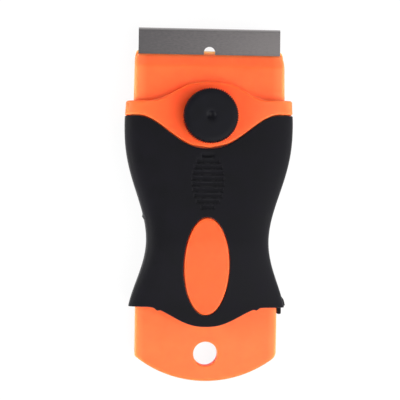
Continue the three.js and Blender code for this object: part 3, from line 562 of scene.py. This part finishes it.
def grip_outline(top_edge, low_edge, inset, right_side=side, left_side=side):
    """Outline of a grip, anticlockwise from its lower right corner."""
    right_low, right_high = low_edge(FLARE), top_edge(SHOULDER)
    left_low, left_high = low_edge(-FLARE), top_edge(-SHOULDER)
    right = lambda y: Vector((right_side(y) - inset, y))
    left = lambda y: Vector((inset - left_side(y), y))
    top = lambda x: Vector((x, top_edge(x)))
    bottom = lambda x: Vector((x, low_edge(x)))
    return (walk(right_low, right_high, SIDE_COLUMNS, right)
            + walk(right(right_high).x, left(left_high).x, TOP_COLUMNS, top)
            + walk(left_high, left_low, SIDE_COLUMNS, left)
            + walk(left(left_low).x, right(right_low).x, LOW_COLUMNS, bottom))


def plate(hearts, outline, rows, closed):
    """A spun strip laid over a plan. A row gives its share of the way out, a step further and its height."""
    def place(column, row):
        share, step, height = rows[row]
        way = outline[column] - hearts[column]
        narrow = min(1.0, way.length / NARROW)
        spot = hearts[column] + way * share + way.normalized() * step * narrow
        return spot.x, spot.y, height(spot.x, spot.y)
    return spun(len(outline), len(rows), place, closed)


def lowered(height, drop):
    return lambda x, y: height(x, y) - drop


def between(start, end, count, height):
    """Rows evenly from a step off the heart to a step off the outline."""
    shares = [k / count for k in range(1, count)]
    return [(share, mix(start, end, share), height) for share in shares]


def under_rows(under):
    """Rows of a grip's underside, from its outline inwards."""
    steps = [(1, -SKIN - d, under) for d in reversed(CORE_STEPS)]
    return steps + between(0.0, -SKIN - CORE_STEPS[0], UNDER_LANES, under)[::-1]


def oval_points(outline, grow):
    """The point of the oval that lies towards each point of an outline."""
    points = []
    for spot in outline:
        way = (spot - OVAL).normalized()
        radius = 1 / math.hypot(way.x / (OVAL_HALF_WIDTH + grow), way.y / (OVAL_HALF_LENGTH + grow))
        points.append(OVAL + way * radius)
    return points


def groove(x, y):
    """Depth of the groove patch."""
    along = (PATCH_TOP - y) / GROOVE_PITCH
    number = round(along)
    if not 0 <= number < GROOVES:
        return 0.0
    half = PATCH_HALF * math.sqrt(1 - ((number + 0.5) * 2 / GROOVES - 1) ** 2)
    off = abs(along - number) * GROOVE_PITCH
    across = ease((GROOVE_WIDTH / 2 + GROOVE_SOFT - off) / (2 * GROOVE_SOFT))
    return GROOVE_DEPTH * across * ease((half + GROOVE_SOFT - abs(x - GRIP_OFFSET)) / (2 * GROOVE_SOFT))


def ends_at_shell(x, y, edge):
    """Whether a place on a grip's rim is at its upper edge, not at the sides, where the two grips meet."""
    return y > edge - RIM_REACH and abs(x) < side(y) - RIM_MARGIN


def nose_room(low, high):
    """Room for the nose inside the handle: wide round the jaws, narrower round their tongues."""
    narrow = TONGUE_HALF + SLIDE
    wide_low, wide_high = NOSE_SHOULDER - SLIDE, COLLAR_TOP - MOUTH_DEPTH
    return [box_shape((-CHANNEL_HALF, wide_low, low), (CHANNEL_HALF, wide_high, high)),
            box_shape((-narrow, HOLDER_HEEL - SEAT, low), (narrow, NOSE_SHOULDER, high))]


def post_rim(x, y):
    """Places round the edge of a screw post."""
    turns = [2 * math.pi * k / RIM_SPOTS for k in range(RIM_SPOTS)]
    return [(x + POST_RADIUS * math.cos(a), y + POST_RADIUS * math.sin(a)) for a in turns]


def make_front_grip():
    low_edge = lambda x: skirt_edge(x) - NIB_DEPTH * bump_at(abs(x) - NIB_X, NIB_WIDTH)
    left_side = lambda y: side(y) + BURR_DEPTH * bump_at(y - BURR_Y, BURR_WIDTH)
    outline = grip_outline(lambda x: lens_edge(x) - SEAM_LINE, low_edge, 0, left_side=left_side)
    windows = oval_points(outline, SEAM_LINE)
    front, under = front_at(0), front_at(SKIN)

    def skin(drop):
        return lambda x, y: max(FRONT_BASE, front(x, y) - groove(x, y) - drop)

    def rim(x, y):
        return max(FRONT_BASE, front(x, y) - SKIN) if ends_at_shell(x, y, LENS_LOW) else FRONT_BASE

    rows = [(0, 0, under)]
    rows += [(0, d, skin(edge_roll(d))) for d in EDGE_STEPS]
    rows += between(EDGE_STEPS[-1], -SIDE_STEPS[0], FRONT_LANES, skin(0))
    rows += [(1, -d, skin(edge_roll(d))) for d in SIDE_STEPS]
    rows += [(1, 0, rim)] + under_rows(under)
    grip = solid("front_grip_moulding", plate(windows, outline, rows, True), RUBBER)
    return combine(grip, nose_room(0, ROOF), "DIFFERENCE")


def make_front_shell():
    outline = grip_outline(lambda x: lens_edge(x) + FRONT_TUCK, lambda x: skirt_edge(x) + CORE, CORE)
    ovals = oval_points(outline, 0)
    front, core, hollow = front_at(0), front_at(CORE), front_at(HOLLOW)
    base = lambda x, y: FRONT_BASE

    def place(column, row):
        span, share, step, height = rows[row]
        start = OVAL if span == "boss" else ovals[column]
        end = ovals[column] if span == "boss" else outline[column]
        way = end - start
        spot = start + way * share + way.normalized() * step
        return spot.x, spot.y, height(spot.x, spot.y)

    rows = [("boss", k / BOSS_LANES, 0, front) for k in range(BOSS_LANES)]
    rows += [("boss", 1, -d, lowered(front, edge_roll(d))) for d in reversed(EDGE_STEPS)]
    rows += [("core", k / CORE_LANES, 0, core) for k in range(CORE_LANES - 1)]
    rows += [("core", 1, -d, core) for d in CORE_STEPS]
    rows += [("core", 1, 0, base), ("core", 1, -FRONT_WALL, hollow)]
    rows += [("core", 0.5, 0, hollow), ("boss", 1, 0, hollow), ("boss", 0, 0, hollow)]
    shell = solid("front_shell_moulding", spun(len(outline), len(rows), place), ORANGE)
    posts = []
    for x, y in screw_places:
        top = min(core(*spot) for spot in post_rim(x, y)) - POST_SINK
        posts.append(rod_shape(POST_RADIUS, x, y, FRONT_BASE, top))
    combine(shell, [collar_shape(True)] + posts, "UNION")
    bores = [rod_shape(SCREW_RADIUS + THREAD_GAP, x, y, 0, SCREW_TIP + SEAT) for x, y in screw_places]
    hub = rod_shape(HUB_ROOM, 0, KNOB_Y, ROOF - HUB_ROOM_DEPTH, KNOB_TOP)
    return combine(shell, nose_room(0, ROOF) + bores + [hub], "DIFFERENCE")


def meet(edge, share):
    """How far along the tool a line at a share of the half-width meets an edge."""
    y = edge(0)
    for _ in range(MEET_ROUNDS):
        y = edge(share * side(y))
    return y


def collar_shape(front):
    """Half of the collar round the nose: its outside, end and inside, and the step under the grip's edge."""
    lower = lens_edge if front else skewed(GRIP_TOP)
    upper = arch_edge if front else skewed(COLLAR_TOP)
    outer = front_at(0) if front else back_at(0)
    base = FRONT_BASE if front else REAR_TOP
    ceiling = ROOF if front else HOLDER_BACK - SEAT
    outward = 1 if front else -1
    end_roll, step_roll = roll(COLLAR_ROLL), roll(STEP_ROLL)
    rows = [("edge", d * STEP_ROLL / COLLAR_ROLL) for d in reversed(COLLAR_STEPS)]
    rows += [("outside", (k + 0.5) / COLLAR_LANES) for k in range(COLLAR_LANES)]
    rows += [("end", d) for d in COLLAR_STEPS]
    rows += [("mouth", 0), ("inside", 0), ("step", 0)]

    def place(column, row):
        part, d = rows[row]
        angle = math.pi * column / COLLAR_COLUMNS
        across, up = math.cos(angle), math.sin(angle)
        inside = math.copysign(abs(across) ** (2 / MOUTH_SQUARENESS), across) * CHANNEL_HALF
        height = base + (ceiling - base) * abs(up) ** (2 / MOUTH_SQUARENESS)
        if part == "mouth":
            return inside, upper(inside), height
        if part == "inside":
            return inside, lower(inside) + MOUTH_START, height
        share = math.copysign(abs(across) ** (2 / SQUARENESS), across)
        start, end = meet(lower, share), meet(upper, share)
        if part == "edge":
            y, drop = start + d, step_roll(d)
        elif part == "outside":
            y, drop = mix(start + STEP_ROLL, end - COLLAR_ROLL, d), 0.0
        elif part == "end":
            y, drop = end - d, end_roll(d)
        else:
            y, drop = start, STEP_DEPTH
        x = share * (side(y) - min(drop, SIDE_DROP) * abs(share) ** SIDE_FADE)
        return x, y, outer(share * side(y), y) - outward * drop * abs(up) ** TOP_FADE
    return spun(COLLAR_COLUMNS, len(rows), place, True, math.pi)


def flash_side(y):
    """Right side of the rear grip, where mould flash swells past the front grip above its corner."""
    half = side(y) + FLASH_SWELL * ease((FLASH_TOP - y) / FLASH_RAMP)
    return mix(half, FLASH_HALF, ease((FLASH_TURN - y) / FLASH_BEND))


def make_rear_grip():
    outline = grip_outline(skewed(GRIP_TOP - SEAM_LINE), skirt_edge, 0, right_side=flash_side)
    hearts = [REAR_HEART] * len(outline)
    back, under = back_at(0), back_at(SKIN)

    def skin(drop):
        return lambda x, y: min(REAR_TOP, back(x, y) + drop)

    def rim(x, y):
        return min(REAR_TOP, back(x, y) + SKIN) if ends_at_shell(x, y, GRIP_TOP) else REAR_TOP

    rows = [(k / REAR_LANES, 0, skin(0)) for k in range(REAR_INNER_LANES)]
    rows += [(1, -d, skin(edge_roll(d))) for d in SIDE_STEPS]
    rows += [(1, 0, rim)] + under_rows(under) + [(0, 0, under)]
    grip = solid("rear_grip_moulding", plate(hearts, outline, rows, False), RUBBER)
    wells = [rod_shape(WELL_RADIUS, x, y, BELOW, WELL_TOP) for x, y in screw_places]
    combine(grip, [tail_shape()] + wells, "DIFFERENCE")
    # A lump of mould flash hangs under the right corner, beside the tail.
    flash = box_shape((TAIL_HALF + SEAT, GRIP_LOW - FLASH_DROP, FLASH_BACK),
                      (FLASH_HALF, GRIP_LOW + ROOT, REAR_TOP), EDGE_ROLL)
    return combine(grip, [flash], "UNION")


def tail_outline():
    """Outline of the tail plate, anticlockwise from its lower right corner."""
    centre = Vector((0, TAIL_END + TAIL_ARC))

    def corner(radius):
        x = TAIL_HALF - radius
        y = centre.y - math.sqrt((TAIL_ARC - radius) ** 2 - x ** 2)
        return Vector((x, y)), math.atan2(y - centre.y, x)

    (right, right_turn), (left, left_turn) = corner(RIGHT_CORNER), corner(LEFT_CORNER)
    left = Vector((-left.x, left.y))
    ring = lambda middle, radius: lambda a: middle + Vector((radius * math.cos(a), radius * math.sin(a)))
    return (walk(right_turn, 0, CORNER_COLUMNS, ring(right, RIGHT_CORNER))
            + walk(right.y, TAIL_ROOT, TAIL_COLUMNS, lambda y: Vector((TAIL_HALF, y)))
            + walk(TAIL_HALF, -TAIL_HALF, TAIL_COLUMNS, lambda x: Vector((x, TAIL_ROOT)))
            + walk(TAIL_ROOT, left.y, TAIL_COLUMNS, lambda y: Vector((-TAIL_HALF, y)))
            + walk(math.pi, math.pi - left_turn, CORNER_COLUMNS, ring(left, LEFT_CORNER))
            + walk(-math.pi - left_turn, right_turn, ARC_COLUMNS, ring(centre, TAIL_ARC)))


def tail_shape():
    outline = tail_outline()
    middle = Vector((0, HANG_Y))
    holes = [middle + (spot - middle).normalized() * HANG_RADIUS for spot in outline]
    slope = lambda y: TAIL_THINNING * max(0.0, (TAIL_SLOPE_START - y) / (TAIL_SLOPE_START - TAIL_END))
    face = lambda x, y: REAR_TOP - slope(y)
    rear = lambda x, y: TAIL_BACK + slope(y)
    hole_roll, rim_roll = roll(HOLE_ROLL), roll(RIM_ROLL)
    rows = [(0, d, lowered(face, hole_roll(d))) for d in HOLE_STEPS]
    rows += between(HOLE_ROLL, -RIM_ROLL, TAIL_LANES, face)
    rows += [(1, -d, lowered(face, rim_roll(d))) for d in RIM_STEPS]
    rows += [(1, -d, lowered(rear, -rim_roll(d))) for d in reversed(RIM_STEPS)]
    rows += between(HOLE_ROLL, -RIM_ROLL, TAIL_LANES, rear)[::-1]
    rows += [(0, d, lowered(rear, -hole_roll(d))) for d in reversed(HOLE_STEPS)]
    return plate(holes, outline, rows, True)


def make_rear_shell():
    outline = grip_outline(lambda x: COLLAR_TOP - REAR_TUCK, lambda x: skirt_edge(x) + CORE, CORE)
    hearts = [REAR_HEART] * len(outline)
    core, hollow = back_at(CORE), back_at(HOLLOW)
    rows = [(k / CORE_LANES, 0, core) for k in range(CORE_LANES - 1)] + [(1, -d, core) for d in CORE_STEPS]
    rows += [(1, 0, lambda x, y: REAR_TOP), (1, -REAR_WALL, hollow), (0.5, 0, hollow), (0, 0, hollow)]
    shell = solid("rear_shell_moulding", plate(hearts, outline, rows, False), ORANGE)
    posts, bores = [], []
    for x, y in screw_places:
        foot = max(core(*spot) for spot in post_rim(x, y)) + POST_SINK
        posts.append(rod_shape(POST_RADIUS, x, y, foot, REAR_TOP))
        bores.append(rod_shape(WELL_RADIUS, x, y, BELOW, SCREW_SEAT))
        bores.append(rod_shape(SCREW_RADIUS + CLEAR, x, y, BELOW, ROOF))
    combine(shell, [tail_shape(), collar_shape(False)] + posts, "UNION")
    combine(shell, nose_room(HOLDER_BACK - SEAT, ROOF) + bores, "DIFFERENCE")
    peg_foot, peg_top = HOLDER_BACK - ROOT, HOLDER_BACK + GUIDE_HEIGHT
    pegs = [rod_shape(GUIDE_RADIUS, x, y, peg_foot, peg_top) for x, y in peg_places]
    return combine(shell, pegs, "UNION")


# Nose pieces

def nose_section(half, seat, face):
    """Outline across a nose piece: square edges on the blade's side and round ones on the outer side."""
    outward = math.copysign(1, face - seat)
    radius = min(NOSE_ROUNDING, ROUNDING_SHARE * abs(face - seat))
    corner = half - radius
    turns = [k * math.pi / 2 / BEND_COLUMNS for k in range(BEND_COLUMNS + 1)]
    bend = [(corner + radius * math.cos(a), face - outward * radius * (1 - math.sin(a))) for a in turns]
    over = [(mix(corner, -corner, k / NOSE_COLUMNS), face) for k in range(1, NOSE_COLUMNS)]
    other = [(-x, z) for x, z in reversed(bend)]
    under = [(mix(-half, half, k / NOSE_COLUMNS), seat) for k in range(1, NOSE_COLUMNS)]
    return [(half, seat)] + bend + over + other + [(-half, seat)] + under


def nose_half(y, lip):
    """Half-width of the nose: nearly straight, with rounded corners at its lip."""
    corner = lip - CORNER_LENGTH
    if y <= corner:
        way = max(0.0, (y - NOSE_SHOULDER) / (corner - NOSE_SHOULDER))
        return mix(NOSE_HALF, LIP_HALF + CORNER_DRAW, way)
    bow = CORNER_LENGTH - 2 * CORNER_BEND
    share = (math.sqrt(CORNER_BEND ** 2 + bow * (lip - y)) - CORNER_BEND) / bow
    return LIP_HALF + CORNER_DRAW * (1 - (1 - share) ** 2)


def soft_ramp(rise, crease):
    """Nothing, then a rise, with a soft crease between them."""
    return (rise + math.sqrt(rise ** 2 + crease ** 2)) / 2


def nose_shape(stations):
    """A nose piece from places along it, each with a half-width, a height at the blade and an outer height."""
    sections = [(y, nose_section(*rest)) for y, *rest in stations]

    def place(column, row):
        y, section = sections[row]
        x, z = section[column]
        return x, y, z
    return spun(len(sections[0][1]), len(sections), place)


def make_clamp_jaw():
    slope = (JAW_FACE - JAW_SEAT - LIP_THICKNESS) / FRONT_TAPER
    face = lambda y: JAW_FACE - soft_ramp(slope * (y - FRONT_LIP + FRONT_TAPER), FRONT_CREASE)
    stations = [(JAW_HEEL, TONGUE_HALF, JAW_SEAT, JAW_FACE), (NOSE_SHOULDER, TONGUE_HALF, JAW_SEAT, JAW_FACE)]
    for k in range(JAW_LANES + 1):
        y = mix(NOSE_SHOULDER, FRONT_LIP - FRONT_LIP_ROLL, k / JAW_LANES)
        stations.append((y, nose_half(y, FRONT_LIP), JAW_SEAT, face(y)))
    lip_roll = roll(FRONT_LIP_ROLL)
    for d in FRONT_LIP_STEPS:
        y, drop = FRONT_LIP - d, lip_roll(d)
        stations.append((y, nose_half(y, FRONT_LIP) - min(drop, SIDE_DROP), JAW_SEAT, face(y) - drop))
    jaw = solid("clamp_jaw_moulding", nose_shape(stations), ORANGE)
    bores = [rod_shape(SPRING_ROOM, 0, KNOB_Y, 0, JAW_SEAT + SPRING_ROOM_DEPTH),
             rod_shape(STUD_BORE, 0, KNOB_Y, 0, ABOVE)]
    guide_top = JAW_SEAT + GUIDE_HEIGHT + CLEAR
    bores += [rod_shape(GUIDE_RADIUS + CLEAR, x, y, 0, guide_top) for x, y in guide_places]
    lug_room = box_shape((-LUG_HALF - SLIDE, BLADE_LOW.y - CLEAR, 0),
                         (LUG_HALF + SLIDE, LUG_HIGH + CLEAR, JAW_SEAT + LUG_ROOM))
    return combine(jaw, bores + [lug_room], "DIFFERENCE")


def make_blade_holder():
    seat, pad, heel = BLADE_LOW.z - BLADE_GAP, JAW_SEAT - BLADE_GAP, BLADE_LOW.y - BLADE_GAP
    slope = (seat - LIP_THICKNESS - HOLDER_BACK) / REAR_TAPER
    back = lambda y: HOLDER_BACK + soft_ramp(slope * (y - REAR_LIP + REAR_TAPER), REAR_CREASE)
    stations = [(HOLDER_HEEL, TONGUE_HALF, pad, HOLDER_BACK), (NOSE_SHOULDER, TONGUE_HALF, pad, HOLDER_BACK)]
    for k in range(HEEL_LANES + 1):
        y = mix(NOSE_SHOULDER, heel, k / HEEL_LANES)
        stations.append((y, nose_half(y, REAR_LIP), pad, back(y)))
    for k in range(SEAT_LANES + 1):
        y = mix(heel, REAR_LIP - REAR_LIP_ROLL, k / SEAT_LANES)
        stations.append((y, nose_half(y, REAR_LIP), seat, back(y)))
    lip_roll = roll(REAR_LIP_ROLL)
    for d in REAR_LIP_STEPS:
        y, drop = REAR_LIP - d, lip_roll(d)
        stations.append((y, nose_half(y, REAR_LIP) - drop, seat - drop, back(y) + drop))
    holder = solid("blade_holder_moulding", nose_shape(stations), ORANGE)
    lug = box_shape((-LUG_HALF, LUG_LOW, seat - ROOT), (LUG_HALF, LUG_HIGH, seat + LUG_HEIGHT), LUG_ROUNDING)
    guide_foot, guide_top = HOLDER_BACK + SEAT, pad + GUIDE_HEIGHT
    guides = [rod_shape(GUIDE_RADIUS, x, y, guide_foot, guide_top) for x, y in guide_places]
    combine(holder, [lug] + guides, "UNION")
    nut_room = box_shape((-NUT_ROOM_HALF, KNOB_Y - NUT_ROOM_HALF, 0),
                         (NUT_ROOM_HALF, KNOB_Y + NUT_ROOM_HALF, HOLDER_BACK + NUT_ROOM_DEPTH))
    stud_bore = rod_shape(STUD_BORE, 0, KNOB_Y, 0, ABOVE)
    peg_top = HOLDER_BACK + GUIDE_HEIGHT + SEAT
    peg_bores = [rod_shape(GUIDE_RADIUS + SEAT, x, y, 0, peg_top) for x, y in peg_places]
    return combine(holder, [nut_room, stud_bore] + peg_bores, "DIFFERENCE")


# Turned pieces

def make_knob():
    rim, foot_top, face_low = KNOB_RADIUS, KNOB_FOOT + FOOT_ROLL, KNOB_TOP - FACE_ROLL
    profile = [(0, HEAD_TOP), (HEAD_RADIUS, HEAD_TOP), (HEAD_RADIUS, HEAD_FOOT), (STUD_HOLE, HEAD_FOOT),
               (STUD_HOLE, KNOB_LOW.z), (HUB_RADIUS - HUB_EDGE, KNOB_LOW.z),
               (HUB_RADIUS, KNOB_LOW.z + HUB_EDGE), (HUB_RADIUS, KNOB_FOOT), (rim - FOOT_EDGE, KNOB_FOOT)]
    profile += [(rim - FOOT_ROLL + FOOT_ROLL * math.sin(a), foot_top - FOOT_ROLL * math.cos(a))
                for a in FOOT_TURNS]
    profile += [(rim, foot_top), (rim, face_low)]
    profile += [(rim - FACE_ROLL + FACE_ROLL * math.cos(a), face_low + FACE_ROLL * math.sin(a))
                for a in FACE_TURNS]
    profile += [(radius, KNOB_TOP) for radius in (rim - FACE_ROLL,) + FACE_RINGS]
    profile += [(radius, KNOB_TOP - depth) for radius, depth in DIMPLE]

    def tooth(radius, around):
        valley = (1 - math.cos(TEETH * around)) / 2
        return TOOTH_DEPTH * valley * ease((radius - rim + TOOTH_ROOT) / TOOTH_RAMP)
    return solid("knob_moulding", turned(profile, 0, KNOB_Y, TEETH * TOOTH_COLUMNS, tooth), BLACK)


def make_screw(node, x, y):
    low, high = reach(node)
    top, seat, tip = low.z, SCREW_SEAT - SEAT, high.z
    profile = [(radius, top + depth) for radius, depth in SCREW_DOME]
    profile += [(SCREW_DOME[-1][0], seat), (SCREW_RADIUS, seat), (SCREW_RADIUS, tip - SCREW_POINT), (0, tip)]
    screw = solid(node + "_turned", turned(profile, x, y, ROD_COLUMNS), ZINC)
    slots = []
    for half_x, half_y in ((SLOT_HALF_LENGTH, SLOT_HALF_WIDTH), (SLOT_HALF_WIDTH, SLOT_HALF_LENGTH)):
        slots.append(box_shape((x - half_x, y - half_y, top - ROOT),
                               (x + half_x, y + half_y, top + SLOT_DEPTH)))
    return combine(screw, slots, "DIFFERENCE")


finished(make_front_grip(), "front_grip", "handle")
finished(make_rear_grip(), "rear_grip", "handle")
finished(make_front_shell(), "front_shell", "handle")
finished(make_rear_shell(), "rear_shell", "handle")
finished(make_blade_holder(), "blade_holder", "handle")
finished(make_clamp_jaw(), "clamp_jaw", "jaw")
finished(make_knob(), "knob", "knob")
for screw_node, screw_place in zip(screw_nodes, screw_places):
    finished(make_screw(screw_node, *screw_place), screw_node, "handle")

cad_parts["blade"].material_slots[0].material = STEEL
for node in ("clamp_stud", "thrust_washer", "clamp_nut", "jaw_spring"):
    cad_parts[node].material_slots[0].material = ZINC


# Camera: straight above the front, a little to the left, with the tool a little turned in the picture
PHOTO_PIXELS, BLADE_PIXELS, BLADE_WIDTH = 400, 142.0, 39.0
PIXEL = BLADE_WIDTH / BLADE_PIXELS
DISTANCE, SENSOR = 350.0, 36.0
LEAN, TURN = math.radians(3.5), math.radians(0.75)
AIM = Vector((-2.1, 1.45, BLADE_HIGH.z))
to_camera = Vector((-math.sin(LEAN), 0, math.cos(LEAN)))
right = Vector((-math.sin(TURN), math.cos(TURN), 0)).cross(to_camera).normalized()
facing = Matrix((right, to_camera.cross(right), to_camera)).transposed().to_4x4()
camera = bpy.data.objects.new("camera", bpy.data.cameras.new("camera"))
camera.data.sensor_width = SENSOR
camera.data.lens = SENSOR * DISTANCE / (PHOTO_PIXELS * PIXEL)
camera.data.clip_start = 0.01
camera.matrix_world = Matrix.Translation((AIM + to_camera * DISTANCE) * MM) @ facing
bpy.context.scene.collection.objects.link(camera)
bpy.context.scene.camera = camera


# Floor: a sheet of white paper
FLOOR_HALF, FLOOR_DROP, PAPER_GLOW = 1500.0, 0.2, 0.92


def shown_plainly(tree):
    """1 for rays that show the background, straight or mirrored, and 0 for the light that falls on the tool."""
    rays = add(tree, "ShaderNodeLightPath")
    mirrored = add(tree, "ShaderNodeMath",
                   {0: rays.outputs["Is Glossy Ray"], 1: rays.outputs["Is Transmission Ray"]}, operation="ADD")
    either = add(tree, "ShaderNodeMath",
                 {0: rays.outputs["Is Camera Ray"], 1: mirrored.outputs["Value"]},
                 operation="ADD", use_clamp=True)
    return either.outputs["Value"]


def white_paper():
    """Matte white paper that shows as plain white, with a faint shadow left on it."""
    material, tree, shader, _ = new_material("white_paper", {
        "Roughness": 0.9, "Specular IOR Level": 0.0, "Emission Color": linear("#FFFFFF")})
    shown = shown_plainly(tree)
    tint = add(tree, "ShaderNodeMix", {"Factor": shown, "A": linear("#E7E7E7"), "B": linear("#4B4B4B")},
               data_type="RGBA")
    glow = add(tree, "ShaderNodeMath", {0: shown, 1: PAPER_GLOW}, operation="MULTIPLY")
    tree.links.new(tint.outputs["Result"], shader.inputs["Base Color"])
    tree.links.new(glow.outputs["Value"], shader.inputs["Emission Strength"])
    return material


paper = bmesh.new()
bmesh.ops.create_grid(paper, x_segments=1, y_segments=1, size=FLOOR_HALF * MM)
bmesh.ops.translate(paper, verts=paper.verts, vec=(0, 0, -FLOOR_DROP * MM))
solid("floor", paper, white_paper())


# Light: a large soft box high over the near right, low strips left, right and beyond the blade, and a dim room
def soft_box(name, place, width, height, power):
    """An area light that points at the tool."""
    lamp = bpy.data.lights.new(name, "AREA")
    lamp.shape = "RECTANGLE"
    lamp.size, lamp.size_y = width * MM, height * MM
    lamp.energy = power
    thing = bpy.data.objects.new(name, lamp)
    thing.location = Vector(place) * MM
    thing.rotation_euler = (-Vector(place)).to_track_quat("-Z", "Y").to_euler()
    bpy.context.scene.collection.objects.link(thing)


STRIP_LENGTH, STRIP_HEIGHT, KEY_SIZE = 400, 140, 420
soft_box("key_box", (180, -140, 410), KEY_SIZE, KEY_SIZE, 2.9)
soft_box("left_strip", (-300, -80, 85), STRIP_LENGTH, STRIP_HEIGHT, 1.9)
soft_box("right_strip", (300, -80, 85), STRIP_LENGTH, STRIP_HEIGHT, 1.3)
soft_box("far_strip", (0, 320, 85), STRIP_LENGTH, STRIP_HEIGHT, 0.2)

world = bpy.data.worlds.new("studio")
bpy.context.scene.world = world
world.use_nodes = True
sky = world.node_tree
room = add(sky, "ShaderNodeMix", {"Factor": shown_plainly(sky), "A": linear("#818184"), "B": linear("#FFFFFF")},
           data_type="RGBA")
sky.links.new(room.outputs["Result"], sky.nodes["Background"].inputs["Color"])

bpy.context.scene.view_settings.view_transform = "Standard"
